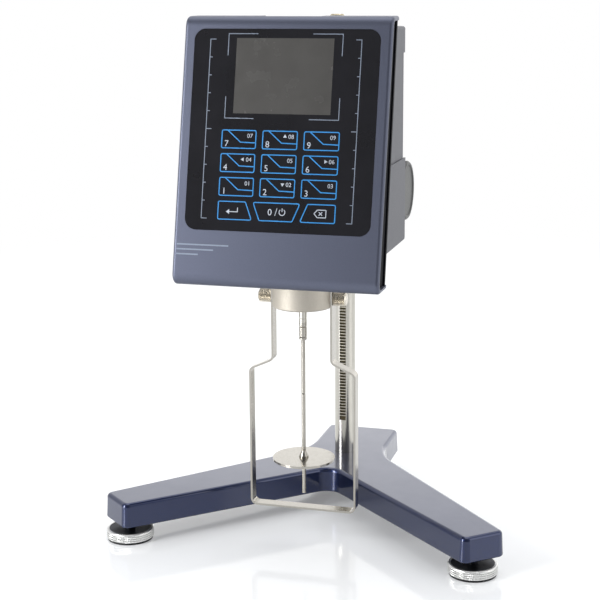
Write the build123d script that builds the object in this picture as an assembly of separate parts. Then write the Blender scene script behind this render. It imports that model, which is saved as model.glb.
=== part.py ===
from build123d import *
import os
from math import atan, cos, degrees, pi, radians, sin, sqrt, tan

# Rotational viscometer on a rack-and-pinion stand. Sizes are in millimetres, +Z is up and
# the table is z = 0. While the pieces are made, the spindle's axis is x = 0, y = 0 and the
# operator stands at -Y. Each piece is moved along Y when it is saved, so that the finished
# model's origin is the middle of its footprint.

# --- Base casting -----------------------------------------------------------------------
base_bottom_z = 13.5          # underside of the casting, held off the table by the feet
base_thickness = 19.5
base_rear_y = 195.5           # rear edge, behind the spindle's axis
notch_apex_y = 81.8           # where the two front edges would meet in a point
notch_radius = 12.0
leg_front_angle = 43.8        # front edge of a leg, from the X axis
leg_rear_angle = 49.2         # rear edge of a leg, which makes the leg wider at its root
toe_inner_x = 130.3           # front corner of a leg's end
toe_width = 36.3
toe_angle = 42.0              # a leg's end face, from the X axis
stub_half_width = 32.0        # rear stub
crotch_radius = 60.0          # between a leg and the stub
base_corner_radius = 6.0
base_edge_radius = 3.0        # rounded upper edge
base_lower_radius = 1.5       # rounded lower edge
base_draft = 3.0              # degrees, the walls lean in towards the top
base_wall = 5.0               # cast walls around the hollow underside
base_roof = 5.5
rib_thickness = 4.0
boss_radius = 10.0            # bosses that take the feet

# --- Levelling feet ---------------------------------------------------------------------
foot_x = 133.8                # front feet, left and right of the middle
foot_y = -23.8
foot_rear_inset = 24.0        # rear foot, ahead of the rear edge
foot_disc_radius = 18.3
foot_disc_height = 7.0
foot_pad_height = 1.5
foot_pad_inset = 0.9          # the rubber pad is this much smaller than the disc
foot_stud_radius = 4.0
foot_stud_engagement = 12.0   # stud length inside the boss

# --- Column and rack --------------------------------------------------------------------
column_y = 127.0
column_radius = 8.5
column_top_z = 381.0
column_seat_depth = 12.0      # depth of the socket in the base
column_boss_radius = 17.0
column_cap_height = 4.0
column_bolt_radius = 4.0
column_bolt_grip = 10.0       # bolt length inside the column
bolt_head_radius = 6.5
bolt_head_height = 3.6
bolt_head_inset = 0.4         # the head lies this far inside the casting's underside
rack_width = 5.0
rack_module = 0.8
rack_start_z = 62.0
rack_back = 4.45              # back of the rack, ahead of the column's axis
rack_proud = 0.3              # tooth tips stand this far out of the column

# --- Fits -------------------------------------------------------------------------------
running_gap = 0.05            # radial, between a shaft and its bore
seat_gap = 0.1                # between pieces that are fastened together
moving_gap = 0.4              # between faces that pass each other
tooth_play = 0.26             # each tooth is this much thinner than half a pitch

# --- Front cover ------------------------------------------------------------------------
cover_bottom_z = 213.6
cover_toe_y = -76.2           # front face's lower edge, if its corner were sharp
cover_tilt = 13.1             # the front face leans back from the vertical
cover_depth = 27.0            # along the bottom, front face to rear lip
cover_lip_tilt = 11.1         # the rear lip leans back a little less than the front face
cover_wall = 3.0
cover_corner_radius = 7.5
cover_rim_radius = 2.4        # rounding of the outer edges at the open sides
notch_width = 44.0            # notch in the rear lip of the cover's top
notch_depth = 14.0

# --- Touch panel, display and key board ---------------------------------------------------
panel_width = 133.0
panel_height = 140.0
panel_corner_radius = 8.0
panel_thickness = 1.6
panel_foot_margin = 40.4      # cover below the panel, measured up the slope
panel_head_margin = 8.6       # cover above it
panel_side_margin = 7.8
screen_width = 70.0
screen_height = 52.5
screen_head_margin = 7.0      # panel above the screen
display_border = 2.5
display_thickness = 5.5
key_board_side_margin = 10.5  # the board stops this far inside the panel's edges
key_board_foot_margin = 5.0
key_board_gap = 1.0           # below the display
board_thickness = 1.6

# --- Rear housing -----------------------------------------------------------------------
housing_inset = 11.8          # the housing's sides, inside the cover's
housing_rear_y = 60.0
housing_bottom_z = 229.2
housing_wall = 2.5
housing_corner_radius = 4.0
housing_lap = 5.0             # the housing reaches this far into the cover
floor_thickness = 3.0
cap_drop = 9.5                # the cap's top, below the cover's
cap_height = 19.0
cap_proud = 1.0
cap_edge_radius = 2.0
cheek_inset = 1.2             # the cheeks stand this far inside the cover's sides
cheek_wall = 2.5
cheek_lip = 0.6               # the cheeks stop this far short of the cover's rear lip
cheek_rim = 3.0               # raised rear edge of a cheek
cheek_recess = 1.0            # the rest of its face lies this much deeper
side_plate_height = 62.0
side_plate_thickness = 1.2
side_plate_corner_radius = 2.0

# --- Rear panel and its sockets -----------------------------------------------------------
rear_panel_half_width = 52.0
rear_panel_height = 62.0
rear_panel_drop = 8.2         # below the cap
rear_panel_thickness = 2.0
rear_panel_corner_radius = 3.0
inlet_x = -30.0
inlet_width = 28.0
inlet_height = 20.0
inlet_depth = 17.0
inlet_wall = 1.8
inlet_pin_width = 2.0
inlet_pin_height = 4.0
inlet_pin_inset = 2.0         # pin tips behind the socket's rim
inlet_pin_pitch = 7.0         # earth pin to each of the others, sideways
inlet_pin_rise = 0.5          # those two above the socket's middle
inlet_earth_rise = 4.5
switch_x = -3.0
switch_width = 13.0
switch_height = 19.0
switch_depth = 14.0
switch_wall = 1.3
data_x = 17.0
data_width = 13.0
data_height = 12.0
data_depth = 16.0
probe_x = 38.0
probe_radius = 6.5
probe_bore_radius = 3.2
probe_depth = 16.0
socket_flange = 2.0           # flange of a socket around its cut-out
socket_flange_thickness = 1.5

# --- Hub, guard leg and thumbscrews -------------------------------------------------------
hub_radius = 22.5
hub_bottom_z = 186.7
hub_floor = 7.0
hub_bore_radius = 15.0
hub_edge = 1.0
hub_flat_depth = 0.6          # flats that the guard's ends lie on
hub_shaft_gap = 1.0           # around the shaft
guard_thickness = 1.5
guard_width = 9.0
guard_top_z = 200.5
guard_shoulder_z = 145.5      # upper end of the shoulder
guard_shoulder_drop = 8.0
guard_half_span = 41.25       # outside of the guard's legs
guard_bottom_z = 28.9
guard_bend_radius = 5.0
guard_blank = 20.0            # strip above the guard's ends, cut off after bending
thumbscrew_z = 193.2
thumbscrew_radius = 5.1
thumbscrew_length = 10.0
thumbscrew_stud_radius = 2.0
thumbscrew_engagement = 6.0

# --- Measuring spindle and its drive ------------------------------------------------------
spindle_tip_z = 40.8
spindle_length = 133.35
spindle_rod_radius = 1.6
disc_radius = 23.465
disc_thickness = 1.65
disc_height = 26.97           # disc's lower face above the spindle's tip
collar_radius = 3.6
collar_height = 5.0
groove_height = 77.9          # immersion groove above the tip
groove_width = 1.0
groove_depth = 0.3
nut_radius = 2.95
nut_height = 13.0
nut_ring_height = 1.4         # ring at the nut's lower end, marked off by a groove
nut_joint_height = 9.4        # second groove, above the nut's lower end
nut_thread_radius = 1.5
nut_thread_depth = 7.0
shaft_radius = 3.0
shaft_top_z = 243.0
bearing_radius = 8.0
bearing_height = 5.0
spring_inner_radius = 5.0
spring_pitch = 2.4
spring_turns = 3
spring_facets = 20            # straight runs in one turn
spring_strip = 0.5
spring_height = 3.0
motor_plate_z = 259.0
motor_plate_size = 58.0
motor_plate_thickness = 3.0
motor_size = 42.0
motor_length = 36.0
motor_corner = 4.0
motor_pilot_radius = 11.0
motor_shaft_radius = 2.5
pillar_width = 8.0
pillar_spread = 23.0
encoder_radius = 17.0
encoder_thickness = 1.2
encoder_slot_length = 3.0
encoder_slot_width = 1.2
encoder_slot_inset = 2.5      # middle of a slot, in from the disc's edge
rotor_collar_height = 6.0
rotor_collar_wall = 3.0
encoder_slots = 12

# --- Clamp, pinion and height knob --------------------------------------------------------
clamp_half_width = 20.0
clamp_height = 54.0
clamp_rear_wall = 7.5
clamp_corner_radius = 6.0
clamp_slit = 3.0
bush_thickness = 1.6
bush_slot = 9.4
pinion_teeth = 16
pinion_width = 4.5            # narrower than the column's groove
pinion_z = 258.3
pinion_shaft_radius = 4.0
knob_radius = 23.3
knob_thickness = 14.0
knob_face_x = 55.3
knob_edge_bevel = 2.0
tension_screw_radius = 2.5
tension_head_radius = 4.25
tension_head_height = 5.0

# --- Spirit level -----------------------------------------------------------------------
level_x = 24.0
level_y = 10.0
level_radius = 7.5
level_height = 10.0
level_vial_radius = 5.6
level_vial_inset = 0.4
level_cup_floor = 2.0

# --- Main board -------------------------------------------------------------------------
main_board_width = 96.0
main_board_height = 100.0
main_board_drop = 15.0        # the board's upper edge, below the cap
# Components: place, width and height as shares of the board's, depth in board thicknesses.
main_board_parts = (
    (-0.23, 0.12, 0.27, 0.26, 2.0), (0.21, 0.20, 0.15, 0.14, 1.5),
    (0.25, -0.22, 0.31, 0.18, 5.5), (-0.27, -0.26, 0.17, 0.22, 7.5),
)
board_gap = 2.0               # between the board and the deepest socket
standoff_width = 7.0
standoff_inset = 6.0          # stand-offs lie this far inside the board's corners

# --- Sizes that follow from the ones above --------------------------------------------------
base_top_z = base_bottom_z + base_thickness
slope = tan(radians(cover_tilt))
slope_cos = cos(radians(cover_tilt))
slope_length = panel_foot_margin + panel_height + panel_head_margin
cover_top_z = cover_bottom_z + slope_length * slope_cos
cover_half_width = panel_width / 2 + panel_side_margin
key_board_width = panel_width - 2 * key_board_side_margin
key_board_height = (
    panel_height - screen_head_margin - screen_height - display_border
    - key_board_gap - key_board_foot_margin
)
housing_half_width = cover_half_width - housing_inset
cap_top_z = cover_top_z - cap_drop
cap_bottom_z = cap_top_z - cap_height
side_plate_top_z = housing_bottom_z + side_plate_height
rear_panel_top_z = cap_bottom_z - rear_panel_drop
rear_panel_bottom_z = rear_panel_top_z - rear_panel_height
rack_pitch = pi * rack_module
rack_pitch_y = column_y - column_radius - rack_proud + rack_module
pinion_radius = pinion_teeth * rack_module / 2
pinion_y = rack_pitch_y - pinion_radius
foot_rear_y = base_rear_y - foot_rear_inset
spindle_top_z = spindle_tip_z + spindle_length
clamp_bore_radius = column_radius + running_gap + bush_thickness + seat_gap
clamp_rear_y = column_y + clamp_bore_radius + clamp_rear_wall
clamp_bottom_z = pinion_z - clamp_height / 2
floor_top_z = housing_bottom_z + floor_thickness
main_board_z = cap_bottom_z - main_board_drop - main_board_height / 2
rear_panel_z = (rear_panel_bottom_z + rear_panel_top_z) / 2
rear_panel_y = housing_rear_y + rear_panel_thickness
board_back_y = rear_panel_y - max(inlet_depth, data_depth, probe_depth) - board_gap
toe_front = cover_toe_y + cover_corner_radius * ((1 + sin(radians(cover_tilt))) / slope_cos - 1)
plan_shift = -(toe_front + base_rear_y) / 2


# --- Small helpers ----------------------------------------------------------------------
def save(name, shape):
    """Write one piece, moved so that the model's origin is the middle of its footprint."""
    export_step(Pos(0, plan_shift, 0) * shape, f"parts/{name}.step")


def outline(*corners):
    """Flat face with straight sides; each corner is (x, y, radius)."""
    edges, cuts = [], []
    for index, (x, y, radius) in enumerate(corners):
        here = Vector(x, y)
        back = (Vector(*corners[index - 1][:2]) - here).normalized()
        ahead = (Vector(*corners[(index + 1) % len(corners)][:2]) - here).normalized()
        if not radius:
            cuts.append((here, here))
            continue
        half = radians(back.get_angle(ahead)) / 2
        run = radius / tan(half)
        middle = here + (back + ahead).normalized() * (radius / sin(half) - radius)
        cuts.append((here + back * run, here + ahead * run))
        edges.append(ThreePointArc(cuts[-1][0], middle, cuts[-1][1]))
    for index, (_, end) in enumerate(cuts):
        edges.append(Line(end, cuts[(index + 1) % len(cuts)][0]))
    return make_face(edges)


def rod(radius, z_low, z_high, x=0.0, y=0.0):
    """Upright cylinder between two heights."""
    return Pos(x, y, z_low) * Cylinder(
        radius, z_high - z_low, align=(Align.CENTER, Align.CENTER, Align.MIN)
    )


def cross_rod(radius, x_low, x_high, y, z):
    """Cylinder along X between two places."""
    return Pos(x_low, y, z) * Rot(0, 90, 0) * Cylinder(
        radius, x_high - x_low, align=(Align.CENTER, Align.CENTER, Align.MIN)
    )


def deep_rod(radius, y_low, y_high, x, z):
    """Cylinder along Y between two places."""
    return Pos(x, y_low, z) * Rot(-90, 0, 0) * Cylinder(
        radius, y_high - y_low, align=(Align.CENTER, Align.CENTER, Align.MIN)
    )


def block(x_low, x_high, y_low, y_high, z_low, z_high):
    """Box between six faces."""
    size = (x_high - x_low, y_high - y_low, z_high - z_low)
    return Pos(x_low, y_low, z_low) * Box(*size, align=(Align.MIN, Align.MIN, Align.MIN))


def side_solid(profile, x_low, x_high):
    """Extrude a profile drawn in (y, z) from one x to another."""
    return Pos(x_low, 0, 0) * extrude(Plane.YZ * profile, x_high - x_low)


def slope_y(z, behind=0.0):
    """y of the cover's front face at height z, plus a level distance behind it."""
    return cover_toe_y + (z - cover_bottom_z) * slope + behind


def lip_y(z, ahead=0.0):
    """y of the cover's rear lip at height z, less a level distance ahead of it."""
    rise = (z - cover_bottom_z) * tan(radians(cover_lip_tilt))
    return cover_toe_y + cover_depth + rise - ahead


def slope_plane(run, depth=0.0):
    """Plane on the cover's front face, a run up the slope and a depth behind it."""
    z = cover_bottom_z + run * slope_cos
    face = Plane(
        origin=(0, slope_y(z), z),
        x_dir=(1, 0, 0),
        z_dir=(0, -slope_cos, sin(radians(cover_tilt))),
    )
    return face.offset(-depth)


def channel_profile(inset, ahead):
    """Side view of the cover at an inset from its outer faces, ending ahead of its lip."""
    low, high = cover_bottom_z + inset, cover_top_z - inset
    front = inset / slope_cos
    radius = cover_corner_radius - inset
    return outline(
        (slope_y(low, front), low, radius),
        (slope_y(high, front), high, radius),
        (lip_y(high, ahead), high, 0),
        (lip_y(low, ahead), low, 0),
    )


def slanted_profile(ahead, rear_y, z_low, z_high, rear_low_radius=0.0):
    """Side view of a rear piece whose front edge runs along the cover's rear lip."""
    return outline(
        (lip_y(z_low, ahead), z_low, 0),
        (lip_y(z_high, ahead), z_high, 0),
        (rear_y, z_high, 0),
        (rear_y, z_low, rear_low_radius),
    )


def rear_corners(solid):
    """The two upright edges at the back of a solid."""
    return solid.edges().filter_by(Axis.Z).sort_by(Axis.Y)[-2:]


# --- Base -------------------------------------------------------------------------------
def base_plan(inset=0.0):
    """Plan of the casting: two legs in a wide V and a stub at the back."""
    near_y = notch_apex_y - toe_inner_x * tan(radians(leg_front_angle))
    far_x = toe_inner_x + toe_width * cos(radians(toe_angle))
    far_y = near_y + toe_width * sin(radians(toe_angle))
    crotch_y = far_y + (far_x - stub_half_width) * tan(radians(leg_rear_angle))
    half = [
        (toe_inner_x, near_y, base_corner_radius),
        (far_x, far_y, base_corner_radius),
        (stub_half_width, crotch_y, crotch_radius),
        (stub_half_width, base_rear_y, base_corner_radius),
    ]
    mirrored = [(-x, y, radius) for x, y, radius in reversed(half)]
    plan = outline((0, notch_apex_y, notch_radius), *half, *mirrored)
    return offset(plan, -inset) if inset else plan


def feet():
    """Plan positions of the three levelling feet."""
    return {"left": (-foot_x, foot_y), "right": (foot_x, foot_y), "rear": (0, foot_rear_y)}


def base_casting():
    """Casting with leaning walls and rounded edges, hollow below, with bosses and ribs."""
    body = Pos(0, 0, base_bottom_z) * extrude(base_plan(), base_thickness, taper=base_draft)
    body = fillet(body.faces().sort_by(Axis.Z)[-1].edges(), base_edge_radius)
    body = fillet(body.faces().sort_by(Axis.Z)[0].edges(), base_lower_radius)
    roof_z = base_top_z - base_roof
    hollow = Pos(0, 0, base_bottom_z - 1) * extrude(base_plan(base_wall), roof_z - base_bottom_z + 1)
    keep = rod(column_boss_radius, base_bottom_z, roof_z, 0, column_y)
    for x, y in feet().values():
        keep += rod(boss_radius, base_bottom_z, roof_z, x, y)
        keep += rib_between(x, y, 0, column_y, roof_z)
    body -= hollow - keep
    socket_z = base_top_z - column_seat_depth
    body -= rod(column_radius + seat_gap, socket_z, base_top_z + 1, 0, column_y)
    body -= rod(column_bolt_radius + seat_gap, base_bottom_z - 1, base_top_z, 0, column_y)
    head_z = base_bottom_z + bolt_head_inset + bolt_head_height
    body -= rod(bolt_head_radius + 2 * seat_gap, base_bottom_z - 1, head_z, 0, column_y)
    bore_z = base_bottom_z + foot_stud_engagement + seat_gap
    for x, y in feet().values():
        body -= rod(foot_stud_radius + running_gap, base_bottom_z - 1, bore_z, x, y)
    return body


def rib_between(x0, y0, x1, y1, roof_z):
    """Cast rib under the roof, from a foot's boss to the column's boss."""
    length = sqrt((x1 - x0) ** 2 + (y1 - y0) ** 2)
    turn = degrees(atan((x1 - x0) / (y0 - y1))) if y0 != y1 else 90
    rib_height = (roof_z - base_bottom_z) * 0.6
    middle = Pos((x0 + x1) / 2, (y0 + y1) / 2, roof_z - rib_height / 2)
    return middle * Rot(0, 0, turn) * Box(rib_thickness, length, rib_height)


def foot_disc(x, y):
    """Turned foot with its threaded stud."""
    top = foot_pad_height + foot_disc_height
    disc = rod(foot_disc_radius, foot_pad_height, top)
    disc = chamfer(disc.edges().sort_by(Axis.Z)[-1], 0.6)
    return Pos(x, y, 0) * (disc + rod(foot_stud_radius, top, base_bottom_z + foot_stud_engagement))


# --- Column and rack --------------------------------------------------------------------
def column():
    """Round column with a groove along its front for the rack."""
    body = rod(column_radius, base_top_z - column_seat_depth, column_top_z, 0, column_y)
    half = rack_width / 2 + seat_gap / 2
    body -= block(
        -half, half, column_y - column_radius - 1, column_y - rack_back + seat_gap / 2,
        rack_start_z, column_top_z + 1,
    )
    bolt_hole_z = base_top_z - column_seat_depth
    body -= rod(
        column_bolt_radius + seat_gap, bolt_hole_z - 1, bolt_hole_z + column_bolt_grip + seat_gap,
        0, column_y,
    )
    return body


def rack():
    """Rack with straight-flanked teeth facing forward, in mesh with the pinion."""
    tip_y = column_y - column_radius - rack_proud
    root_y = rack_pitch_y + rack_module * 1.2
    back_y = column_y - rack_back
    flank = tan(radians(20))
    half_pitch_tooth = rack_pitch / 4 - tooth_play / 2
    half_tip = half_pitch_tooth - (rack_pitch_y - tip_y) * flank
    half_root = half_pitch_tooth + (root_y - rack_pitch_y) * flank
    # A gap faces the pinion's axis, so the first tooth stands half a pitch from it.
    below = int((pinion_z - rack_start_z) / rack_pitch - 0.6)
    above = int((column_top_z - pinion_z) / rack_pitch - 0.6)
    points = [(back_y, rack_start_z), (root_y, rack_start_z)]
    for step in range(-below, above + 1):
        z = pinion_z + (step + 0.5) * rack_pitch
        if z + half_root > column_top_z:
            break
        points += [(root_y, z - half_root), (tip_y, z - half_tip)]
        points += [(tip_y, z + half_tip), (root_y, z + half_root)]
    points += [(root_y, column_top_z), (back_y, column_top_z)]
    profile = make_face(Polyline(*points, close=True))
    return side_solid(profile, -rack_width / 2, rack_width / 2)


def column_bolt():
    """Low-headed screw that holds the column down, sunk in the casting's underside."""
    head_z = base_bottom_z + bolt_head_inset
    seat_z = head_z + bolt_head_height
    bolt = rod(bolt_head_radius, head_z, seat_z, 0, column_y)
    key = Pos(0, column_y, head_z) * extrude(RegularPolygon(2.9, 6), 2)
    bolt -= key
    reach = base_top_z - column_seat_depth + column_bolt_grip
    return bolt + rod(column_bolt_radius, seat_z, reach, 0, column_y)


def column_cap():
    """Cap that ends the column and stops the head's travel."""
    cap = rod(column_radius + 1.5, column_top_z, column_top_z + column_cap_height, 0, column_y)
    return chamfer(cap.edges().sort_by(Axis.Z)[-1], 1.0)


# --- Head: cover and panel ----------------------------------------------------------------
def front_cover():
    """Channel-shaped cover, open at the sides, with a recess for the panel."""
    shell = side_solid(channel_profile(0, 0), -cover_half_width, cover_half_width)
    sides = shell.faces().filter_by(Axis.X).sort_by(Axis.X)
    rims = sides[0].edges().sort_by(Axis.Y)[:-1] + sides[-1].edges().sort_by(Axis.Y)[:-1]
    shell = fillet(rims, cover_rim_radius)
    inside = side_solid(channel_profile(cover_wall, -2), -cover_half_width - 1, cover_half_width + 1)
    shell -= inside
    recess = RectangleRounded(
        panel_width + 2 * seat_gap, panel_height + 2 * seat_gap, panel_corner_radius + seat_gap
    )
    shell -= extrude(slope_plane(panel_run()) * recess, -panel_thickness)
    opening = Rectangle(
        screen_width + 2 * (display_border + seat_gap), screen_height + 2 * (display_border + seat_gap)
    )
    shell -= extrude(slope_plane(screen_run()) * opening, -cover_wall - 1)
    rear_y = lip_y(cover_top_z)
    return shell - block(
        -notch_width / 2, notch_width / 2, rear_y - notch_depth, rear_y + 1,
        cover_top_z - cover_wall - 1, cover_top_z + 1,
    )


def panel_run():
    """Middle of the panel, up the slope."""
    return panel_foot_margin + panel_height / 2


def screen_run():
    """Middle of the screen, up the slope."""
    return panel_foot_margin + panel_height - screen_head_margin - screen_height / 2


def touch_panel():
    """Glass panel, flush in the cover."""
    sheet = RectangleRounded(panel_width, panel_height, panel_corner_radius)
    return extrude(slope_plane(panel_run()) * sheet, -panel_thickness)


def display_module():
    """Display, seated on the back of the glass."""
    frame = Rectangle(screen_width + 2 * display_border, screen_height + 2 * display_border)
    return extrude(slope_plane(screen_run(), panel_thickness) * frame, -display_thickness)


def key_board():
    """Sensing board for the touch keys, behind the cover's front wall."""
    run = panel_foot_margin + key_board_foot_margin + key_board_height / 2
    board = RectangleRounded(key_board_width, key_board_height, 2)
    return extrude(slope_plane(run, cover_wall) * board, -board_thickness)


def cheek(side):
    """Dark end cap in the cover's open side, hollow towards the housing."""
    inset = cover_wall + seat_gap
    outer = cover_half_width - cheek_inset
    low, high = sorted((side * housing_half_width, side * outer))
    body = side_solid(channel_profile(inset, cheek_lip), low, high)
    low, high = sorted((side * (outer - cheek_recess), side * (outer + 1)))
    body -= side_solid(channel_profile(inset - 0.05, cheek_lip + cheek_rim), low, high)
    low, high = sorted((side * (housing_half_width - 1), side * (outer - cheek_wall)))
    return body - side_solid(channel_profile(inset + cheek_wall, cheek_lip + cheek_wall), low, high)


# --- Head: housing ------------------------------------------------------------------------
def rear_housing():
    """Wrap-round wall of the housing, open at front, top and bottom."""
    body = side_solid(
        slanted_profile(housing_lap, housing_rear_y, floor_top_z, cap_bottom_z),
        -housing_half_width, housing_half_width,
    )
    body = fillet(rear_corners(body), housing_corner_radius)
    inner = side_solid(
        slanted_profile(housing_lap + 5, housing_rear_y - housing_wall, floor_top_z - 1, cap_bottom_z + 1),
        -housing_half_width + housing_wall, housing_half_width - housing_wall,
    )
    inner = fillet(rear_corners(inner), housing_corner_radius - housing_wall)
    body -= inner
    reach_x = main_board_width / 2 - standoff_inset
    reach_z = main_board_height / 2 - standoff_inset
    for x in (-reach_x, reach_x):
        for z in (main_board_z - reach_z, main_board_z + reach_z):
            half = standoff_width / 2
            body += block(
                x - half, x + half, board_back_y, housing_rear_y - housing_wall / 2,
                z - half, z + half,
            )
    slot_height = inlet_height / 2 + seat_gap
    return body - block(
        inlet_x - inlet_width / 2 - seat_gap, probe_x + probe_radius + seat_gap,
        housing_rear_y - housing_wall - 1, housing_rear_y + 1,
        rear_panel_z - slot_height, rear_panel_z + slot_height,
    )


def socket_holes(y_low, y_high):
    """Cut-outs in the rear panel for the sockets and the switch."""
    gap = 2 * seat_gap
    for x, width, height in (
        (inlet_x, inlet_width, inlet_height),
        (switch_x, switch_width, switch_height),
        (data_x, data_width, data_height),
    ):
        half_x, half_z = (width + gap) / 2, (height + gap) / 2
        yield block(x - half_x, x + half_x, y_low, y_high, rear_panel_z - half_z, rear_panel_z + half_z)
    yield deep_rod(probe_radius + seat_gap, y_low, y_high, probe_x, rear_panel_z)


def top_cap():
    """Moulded cap over the housing, slightly proud of it, hollow below."""
    half = housing_half_width + cap_proud
    rear = housing_rear_y + cap_proud
    ahead = cheek_lip - seat_gap
    cap = side_solid(slanted_profile(ahead, rear, cap_bottom_z, cap_top_z), -half, half)
    cap = fillet(rear_corners(cap), housing_corner_radius + cap_proud)
    cap = fillet(cap.faces().sort_by(Axis.Z)[-1].edges().sort_by(Axis.Y)[1:], cap_edge_radius)
    inner = side_solid(
        slanted_profile(
            ahead - housing_wall, rear - housing_wall - cap_proud,
            cap_bottom_z - 1, cap_top_z - housing_wall,
        ),
        -half + housing_wall + cap_proud, half - housing_wall - cap_proud,
    )
    return cap - inner


def bottom_plate():
    """Floor of the housing, which carries the hub and the drive."""
    profile = slanted_profile(housing_lap, housing_rear_y, housing_bottom_z, floor_top_z)
    plate = side_solid(profile, -housing_half_width, housing_half_width)
    plate = fillet(rear_corners(plate), housing_corner_radius)
    return plate - rod(hub_bore_radius, housing_bottom_z - 1, floor_top_z + 1)


def side_plate(side):
    """Thin plate on the lower half of the housing's side."""
    profile = slanted_profile(
        cheek_lip - seat_gap, housing_rear_y,
        housing_bottom_z, side_plate_top_z, side_plate_corner_radius,
    )
    outer = housing_half_width + side_plate_thickness
    low, high = sorted((side * housing_half_width, side * outer))
    return side_solid(profile, low, high)


def rear_panel():
    """Socket plate on the back of the housing."""
    low, high, corner = rear_panel_bottom_z, rear_panel_top_z, rear_panel_corner_radius
    half = rear_panel_half_width
    face = outline((-half, low, corner), (half, low, corner), (half, high, corner), (-half, high, corner))
    plate = Pos(0, housing_rear_y, 0) * extrude(Plane.XZ * face, -rear_panel_thickness)
    for hole in socket_holes(housing_rear_y - 1, rear_panel_y + 1):
        plate -= hole
    return plate


# --- Head: sockets and switch ---------------------------------------------------------------
def flanged_socket(x, width, height, depth):
    """Rectangular socket body behind the panel with its flange in front."""
    back = rear_panel_y - depth
    body = block(
        x - width / 2, x + width / 2, back, rear_panel_y,
        rear_panel_z - height / 2, rear_panel_z + height / 2,
    )
    half_x, half_z = width / 2 + socket_flange, height / 2 + socket_flange
    flange = block(
        x - half_x, x + half_x, rear_panel_y, rear_panel_y + socket_flange_thickness,
        rear_panel_z - half_z, rear_panel_z + half_z,
    )
    return body + flange


def power_inlet():
    """Mains inlet with a deep recess and three flat pins."""
    body = flanged_socket(inlet_x, inlet_width, inlet_height, inlet_depth)
    front = rear_panel_y + socket_flange_thickness
    half_x, half_z = inlet_width / 2 - inlet_wall, inlet_height / 2 - inlet_wall
    floor = rear_panel_y - inlet_depth + inlet_wall
    body -= block(
        inlet_x - half_x, inlet_x + half_x, floor, front + 1,
        rear_panel_z - half_z, rear_panel_z + half_z,
    )
    pins = ((-inlet_pin_pitch, inlet_pin_rise), (0, inlet_earth_rise), (inlet_pin_pitch, inlet_pin_rise))
    for offset_x, offset_z in pins:
        x, z = inlet_x + offset_x, rear_panel_z + offset_z
        body += block(
            x - inlet_pin_width / 2, x + inlet_pin_width / 2, floor - 0.5, front - inlet_pin_inset,
            z - inlet_pin_height / 2, z + inlet_pin_height / 2,
        )
    return body


def switch_bezel():
    """Frame of the power switch, with the pin that the rocker turns on."""
    body = flanged_socket(switch_x, switch_width, switch_height, switch_depth)
    half_x, half_z = switch_width / 2 - switch_wall, switch_height / 2 - switch_wall
    floor = rear_panel_y - switch_depth + switch_wall
    body -= block(
        switch_x - half_x, switch_x + half_x, floor, rear_panel_y + socket_flange_thickness + 1,
        rear_panel_z - half_z, rear_panel_z + half_z,
    )
    return body + cross_rod(1.0, switch_x - half_x - 0.5, switch_x + half_x + 0.5, rear_panel_y, rear_panel_z)


def switch_rocker():
    """Rocker that stands in the frame and turns on its pin."""
    half_x = switch_width / 2 - switch_wall - moving_gap / 2
    half_z = switch_height / 2 - switch_wall - 0.9
    top = rear_panel_y + socket_flange_thickness + 1.6
    low = rear_panel_y - 4
    profile = outline(
        (low, rear_panel_z - 4, 1), (low, rear_panel_z + 4, 1),
        (top - 1.2, rear_panel_z + half_z, 1), (top - 2.2, rear_panel_z, 0),
        (top - 1.2, rear_panel_z - half_z, 1),
    )
    rocker = side_solid(profile, switch_x - half_x, switch_x + half_x)
    return rocker - cross_rod(
        1.0 + running_gap, switch_x - half_x - 1, switch_x + half_x + 1, rear_panel_y, rear_panel_z,
    )


def data_socket():
    """Square data socket with a contact tongue."""
    body = flanged_socket(data_x, data_width, data_height, data_depth)
    front = rear_panel_y + socket_flange_thickness
    body -= block(
        data_x - data_width / 2 + 2, data_x + data_width / 2 - 2, rear_panel_y - data_depth + 4,
        front + 1, rear_panel_z - data_height / 2 + 2, rear_panel_z + data_height / 2 - 2,
    )
    return body + block(data_x - 2.8, data_x + 2.8, rear_panel_y - data_depth + 3, front - 2,
                        rear_panel_z - 1.5, rear_panel_z + 1.5)


def probe_socket():
    """Round socket for a temperature probe's plug."""
    front = rear_panel_y + socket_flange_thickness
    body = deep_rod(probe_radius, rear_panel_y - probe_depth, rear_panel_y, probe_x, rear_panel_z)
    body += deep_rod(probe_radius + socket_flange, rear_panel_y, front, probe_x, rear_panel_z)
    return body - deep_rod(
        probe_bore_radius, rear_panel_y - probe_depth + 3, front + 1, probe_x, rear_panel_z,
    )


# --- Head: hub, guard and thumbscrews ---------------------------------------------------------
def hub():
    """Turned hub below the housing; its floor holds the lower bearing."""
    body = rod(hub_radius, hub_bottom_z, housing_bottom_z)
    body = chamfer(body.edges().sort_by(Axis.Z)[0], hub_edge)
    body -= rod(hub_bore_radius, hub_bottom_z + hub_floor, housing_bottom_z + 1)
    floor_z = hub_bottom_z + hub_floor
    body -= rod(bearing_radius + seat_gap / 2, floor_z - bearing_height, floor_z + 1)
    body -= rod(shaft_radius + hub_shaft_gap, hub_bottom_z - 1, hub_bottom_z + hub_floor)
    flat = hub_radius - hub_flat_depth
    flat_half = guard_width / 2 + 2 * seat_gap
    for side in (-1, 1):
        face = block(flat, hub_radius + 1, -flat_half, flat_half, hub_bottom_z - 1, guard_top_z + moving_gap)
        body -= face if side > 0 else mirror(face, Plane.YZ)
        low, high = sorted((side * (flat - thumbscrew_engagement - 1), side * (hub_radius + 1)))
        body -= cross_rod(thumbscrew_stud_radius + running_gap, low, high, 0, thumbscrew_z)
    return body


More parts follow.
